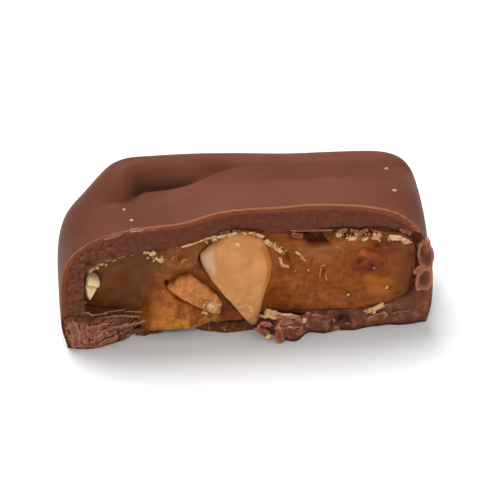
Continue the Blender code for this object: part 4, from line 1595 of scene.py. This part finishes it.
def material_of(make_material):
    """The material that a function makes, made once."""
    if make_material not in MATERIALS:
        MATERIALS[make_material] = make_material(bpy.context.scene.toffee_looks)
    return MATERIALS[make_material]


def settle(piece, make_material, slot, *nodes):
    """Gives a finished piece its material and body, and hides the nodes that it stands for; slot is not used.
    """
    piece.data.materials.clear()
    piece.data.materials.append(material_of(make_material))
    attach(piece, "root")
    for node in nodes:
        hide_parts(node)


# Operators


class TOFFEE_OT_coating(bpy.types.Operator):
    """Make the chocolate coating with its skin, cut rim and broken base"""

    bl_idname = "toffee.coating"
    bl_label = "Chocolate coating"

    def execute(self, context):
        settle(build_coating(), chocolate_material, "chocolate", "chocolate_coating")
        return {"FINISHED"}


class TOFFEE_OT_bar(bpy.types.Operator):
    """Make the broken toffee inside"""

    bl_idname = "toffee.bar"
    bl_label = "Toffee bar"

    def execute(self, context):
        settle(build_bar(), toffee_material, "toffee", "toffee_bar")
        return {"FINISHED"}


class TOFFEE_OT_almonds(bpy.types.Operator):
    """Make the three pieces of almond"""

    bl_idname = "toffee.almonds"
    bl_label = "Almonds"

    def execute(self, context):
        for node, shape, face, roughness, pale, small in (
            ("almond_large", LARGE_ALMOND, large_face, 0.02, 0.0, 0.0),
            ("almond_small", SMALL_ALMOND, small_face, 0.12, 0.0, 1.0),
            ("almond_fragment", ALMOND_FRAGMENT, fragment_face, 0.1, 1.0, 0.0),
        ):
            piece = build_nut(node + "_fine", shape, face, roughness, pale=pale, small=small)
            settle(piece, almond_material, "almond", node)
        return {"FINISHED"}


class TOFFEE_OT_flakes(bpy.types.Operator):
    """Make the flakes of chocolate and cream that the knife raised, and the specks that stand in for painted
    glints
    """

    bl_idname = "toffee.flakes"
    bl_label = "Flakes"

    def execute(self, context):
        for name, rows, skin_glint_flakes in (
            ("flakes_wall", WALL_FLAKES, ()),
            ("flakes_edge", EDGE_FLAKES, SKIN_GLINT_FLAKES),
            ("flakes_chip", CHIP_FLAKES, ()),
            ("flakes_base", BASE_FLAKES, ()),
            ("flakes_chunk", CHUNK_FLAKES, ()),
        ):
            settle(build_flakes(name, rows, skin_glint_flakes=skin_glint_flakes), flake_material, "chocolate")
        settle(build_crusts(context.scene.toffee_sizes.crust_depth), flake_material, "chocolate")
        settle(build_flakes("flakes_cream", CREAM_FLAKES, TOFFEE_GLINTS_AND_CRUMBS), cream_material, "almond")
        return {"FINISHED"}


class TOFFEE_OT_crumbs(bpy.types.Operator):
    """Strew crumbs of almond, toffee and chocolate along the broken edges"""

    bl_idname = "toffee.crumbs"
    bl_label = "Crumbs"

    def execute(self, context):
        shapes = crumb_shapes()
        tree = scatter_tree()
        sizes = context.scene.toffee_sizes
        for name, strips, density, make_material, slot, seed in (
            ("crumbs_cream", CREAM_STRIPS, sizes.cream_crumbs, cream_material, "almond", 4),
            ("crumbs_chocolate", CHOCOLATE_STRIPS, sizes.chocolate_crumbs, flake_material, "chocolate", 7),
        ):
            wanted = {
                "Shapes": shapes,
                DENSITY: density / MM**2,
                "Least Size": sizes.least_crumb,
                "Greatest Size": sizes.greatest_crumb,
                "Seed": seed,
                "Material": material_of(make_material),
            }
            piece = strew(name, strip_mesh(name + "_strips", strips), tree, wanted)
            if not piece.data.polygons:
                raise RuntimeError(f"{name} came out empty")
            settle(piece, make_material, slot)
        for shape in list(shapes.objects):
            bpy.data.objects.remove(shape, do_unlink=True)
        bpy.data.collections.remove(shapes)
        return {"FINISHED"}


class TOFFEE_OT_stage(bpy.types.Operator):
    """Make the pale floor, the soft lights and the camera"""

    bl_idname = "toffee.stage"
    bl_label = "Stage"

    def execute(self, context):
        stage = context.scene.toffee_stage
        make_floor()
        make_lights(context.scene, stage)
        make_camera(context.scene, stage)
        return {"FINISHED"}


# Stage


FLOOR_HALF = 1.5
FLOOR_CELLS = 8
IMAGE_WIDTH_MM = 36.0
CLIP_START = 0.05
LIGHT_TARGET = (0.0, 0.0, 0.007)
# Each light gives the setting of its power, its share of that power, its width and its place in metres
LIGHTS = {
    "key": ("key_power", 1.0, 0.42, (-0.095, 0.235, 0.43)),
    "fill": ("fill_power", 1.0, 0.35, (0.05, -0.5, 0.3)),
    "glint": ("glint_power", 1.0, 0.035, (-0.10, -0.34, 0.30)),
    "side glint": ("glint_power", 0.6, 0.03, (0.22, -0.30, 0.22)),
}


def facing(way):
    """The rotation of a light or camera that looks along a way."""
    return way.to_track_quat("-Z", "Y").to_euler()


def make_floor():
    """A pale flat floor under the toffee."""
    mesh = bpy.data.meshes.new("studio_floor")
    form = bmesh.new()
    bmesh.ops.create_grid(form, x_segments=FLOOR_CELLS, y_segments=FLOOR_CELLS, size=FLOOR_HALF)
    form.to_mesh(mesh)
    form.free()
    mesh.materials.append(material_of(floor_material))
    add_object("studio_floor", mesh)


def make_lights(scene, stage):
    """A white room, a broad light above and behind, a weak one in front, and two small ones for glints."""
    scene.world = bpy.data.worlds.new("studio")
    scene.world.use_nodes = True
    background = scene.world.node_tree.nodes["Background"]
    background.inputs["Color"].default_value = (1.0, 1.0, 1.0, 1.0)
    background.inputs["Strength"].default_value = stage.world_strength
    for name, (setting, share, width, place) in LIGHTS.items():
        light = bpy.data.lights.new(name, "AREA")
        light.shape = "DISK"
        light.size = width
        light.energy = getattr(stage, setting) * share
        lamp = add_object(name, light)
        lamp.location = place
        lamp.rotation_euler = facing(Vector(LIGHT_TARGET) - Vector(place))
    scene.view_settings.view_transform = "Standard"


def make_camera(scene, stage):
    """A long lens at the photograph's angle, aimed at the middle of the toffee."""
    low, high = (np.array(corner) for corner in CAD_BOX)
    target = Vector(((low + high) / 2).tolist())
    azimuth, elevation = stage.azimuth, stage.elevation
    way = Vector((-math.sin(azimuth), math.cos(azimuth), 0.0)) * math.cos(elevation)
    way.z = -math.sin(elevation)
    camera = bpy.data.cameras.new("camera")
    camera.sensor_width = IMAGE_WIDTH_MM
    camera.sensor_fit = "HORIZONTAL"
    camera.lens = IMAGE_WIDTH_MM * stage.share_of_width * stage.distance / float(high[0] - low[0])
    camera.clip_start = CLIP_START
    scene.camera = add_object("camera", camera)
    scene.camera.location = target - way * stage.distance
    scene.camera.rotation_euler = facing(way)


class TOFFEE_PT_parts(bpy.types.Panel):
    """Buttons for the toffee's pieces and its stage"""

    bl_idname = "TOFFEE_PT_parts"
    bl_label = "English toffee"
    bl_space_type = "VIEW_3D"
    bl_region_type = "UI"
    bl_category = "Toffee"

    def draw(self, context):
        for operator in OPERATORS:
            self.layout.operator(operator.bl_idname)
        for key, kind in SETTINGS.items():
            box = self.layout.box()
            for name in kind.__annotations__:
                box.prop(getattr(context.scene, key), name)


SETTINGS = {"toffee_looks": ToffeeLooks, "toffee_sizes": ToffeeSizes, "toffee_stage": ToffeeStage}
OPERATORS = (
    TOFFEE_OT_coating,
    TOFFEE_OT_bar,
    TOFFEE_OT_almonds,
    TOFFEE_OT_flakes,
    TOFFEE_OT_crumbs,
    TOFFEE_OT_stage,
)
CLASSES = (*SETTINGS.values(), *OPERATORS, TOFFEE_PT_parts)


def register():
    for part in CLASSES:
        bpy.utils.register_class(part)
    for key, kind in SETTINGS.items():
        setattr(bpy.types.Scene, key, PointerProperty(type=kind))


def unregister():
    for key in SETTINGS:
        delattr(bpy.types.Scene, key)
    for part in reversed(CLASSES):
        bpy.utils.unregister_class(part)


def main():
    register()
    bpy.ops.toffee.coating()
    bpy.ops.toffee.bar()
    bpy.ops.toffee.almonds()
    bpy.ops.toffee.flakes()
    bpy.ops.toffee.crumbs()
    bpy.ops.toffee.stage()


if __name__ == "__main__":
    main()
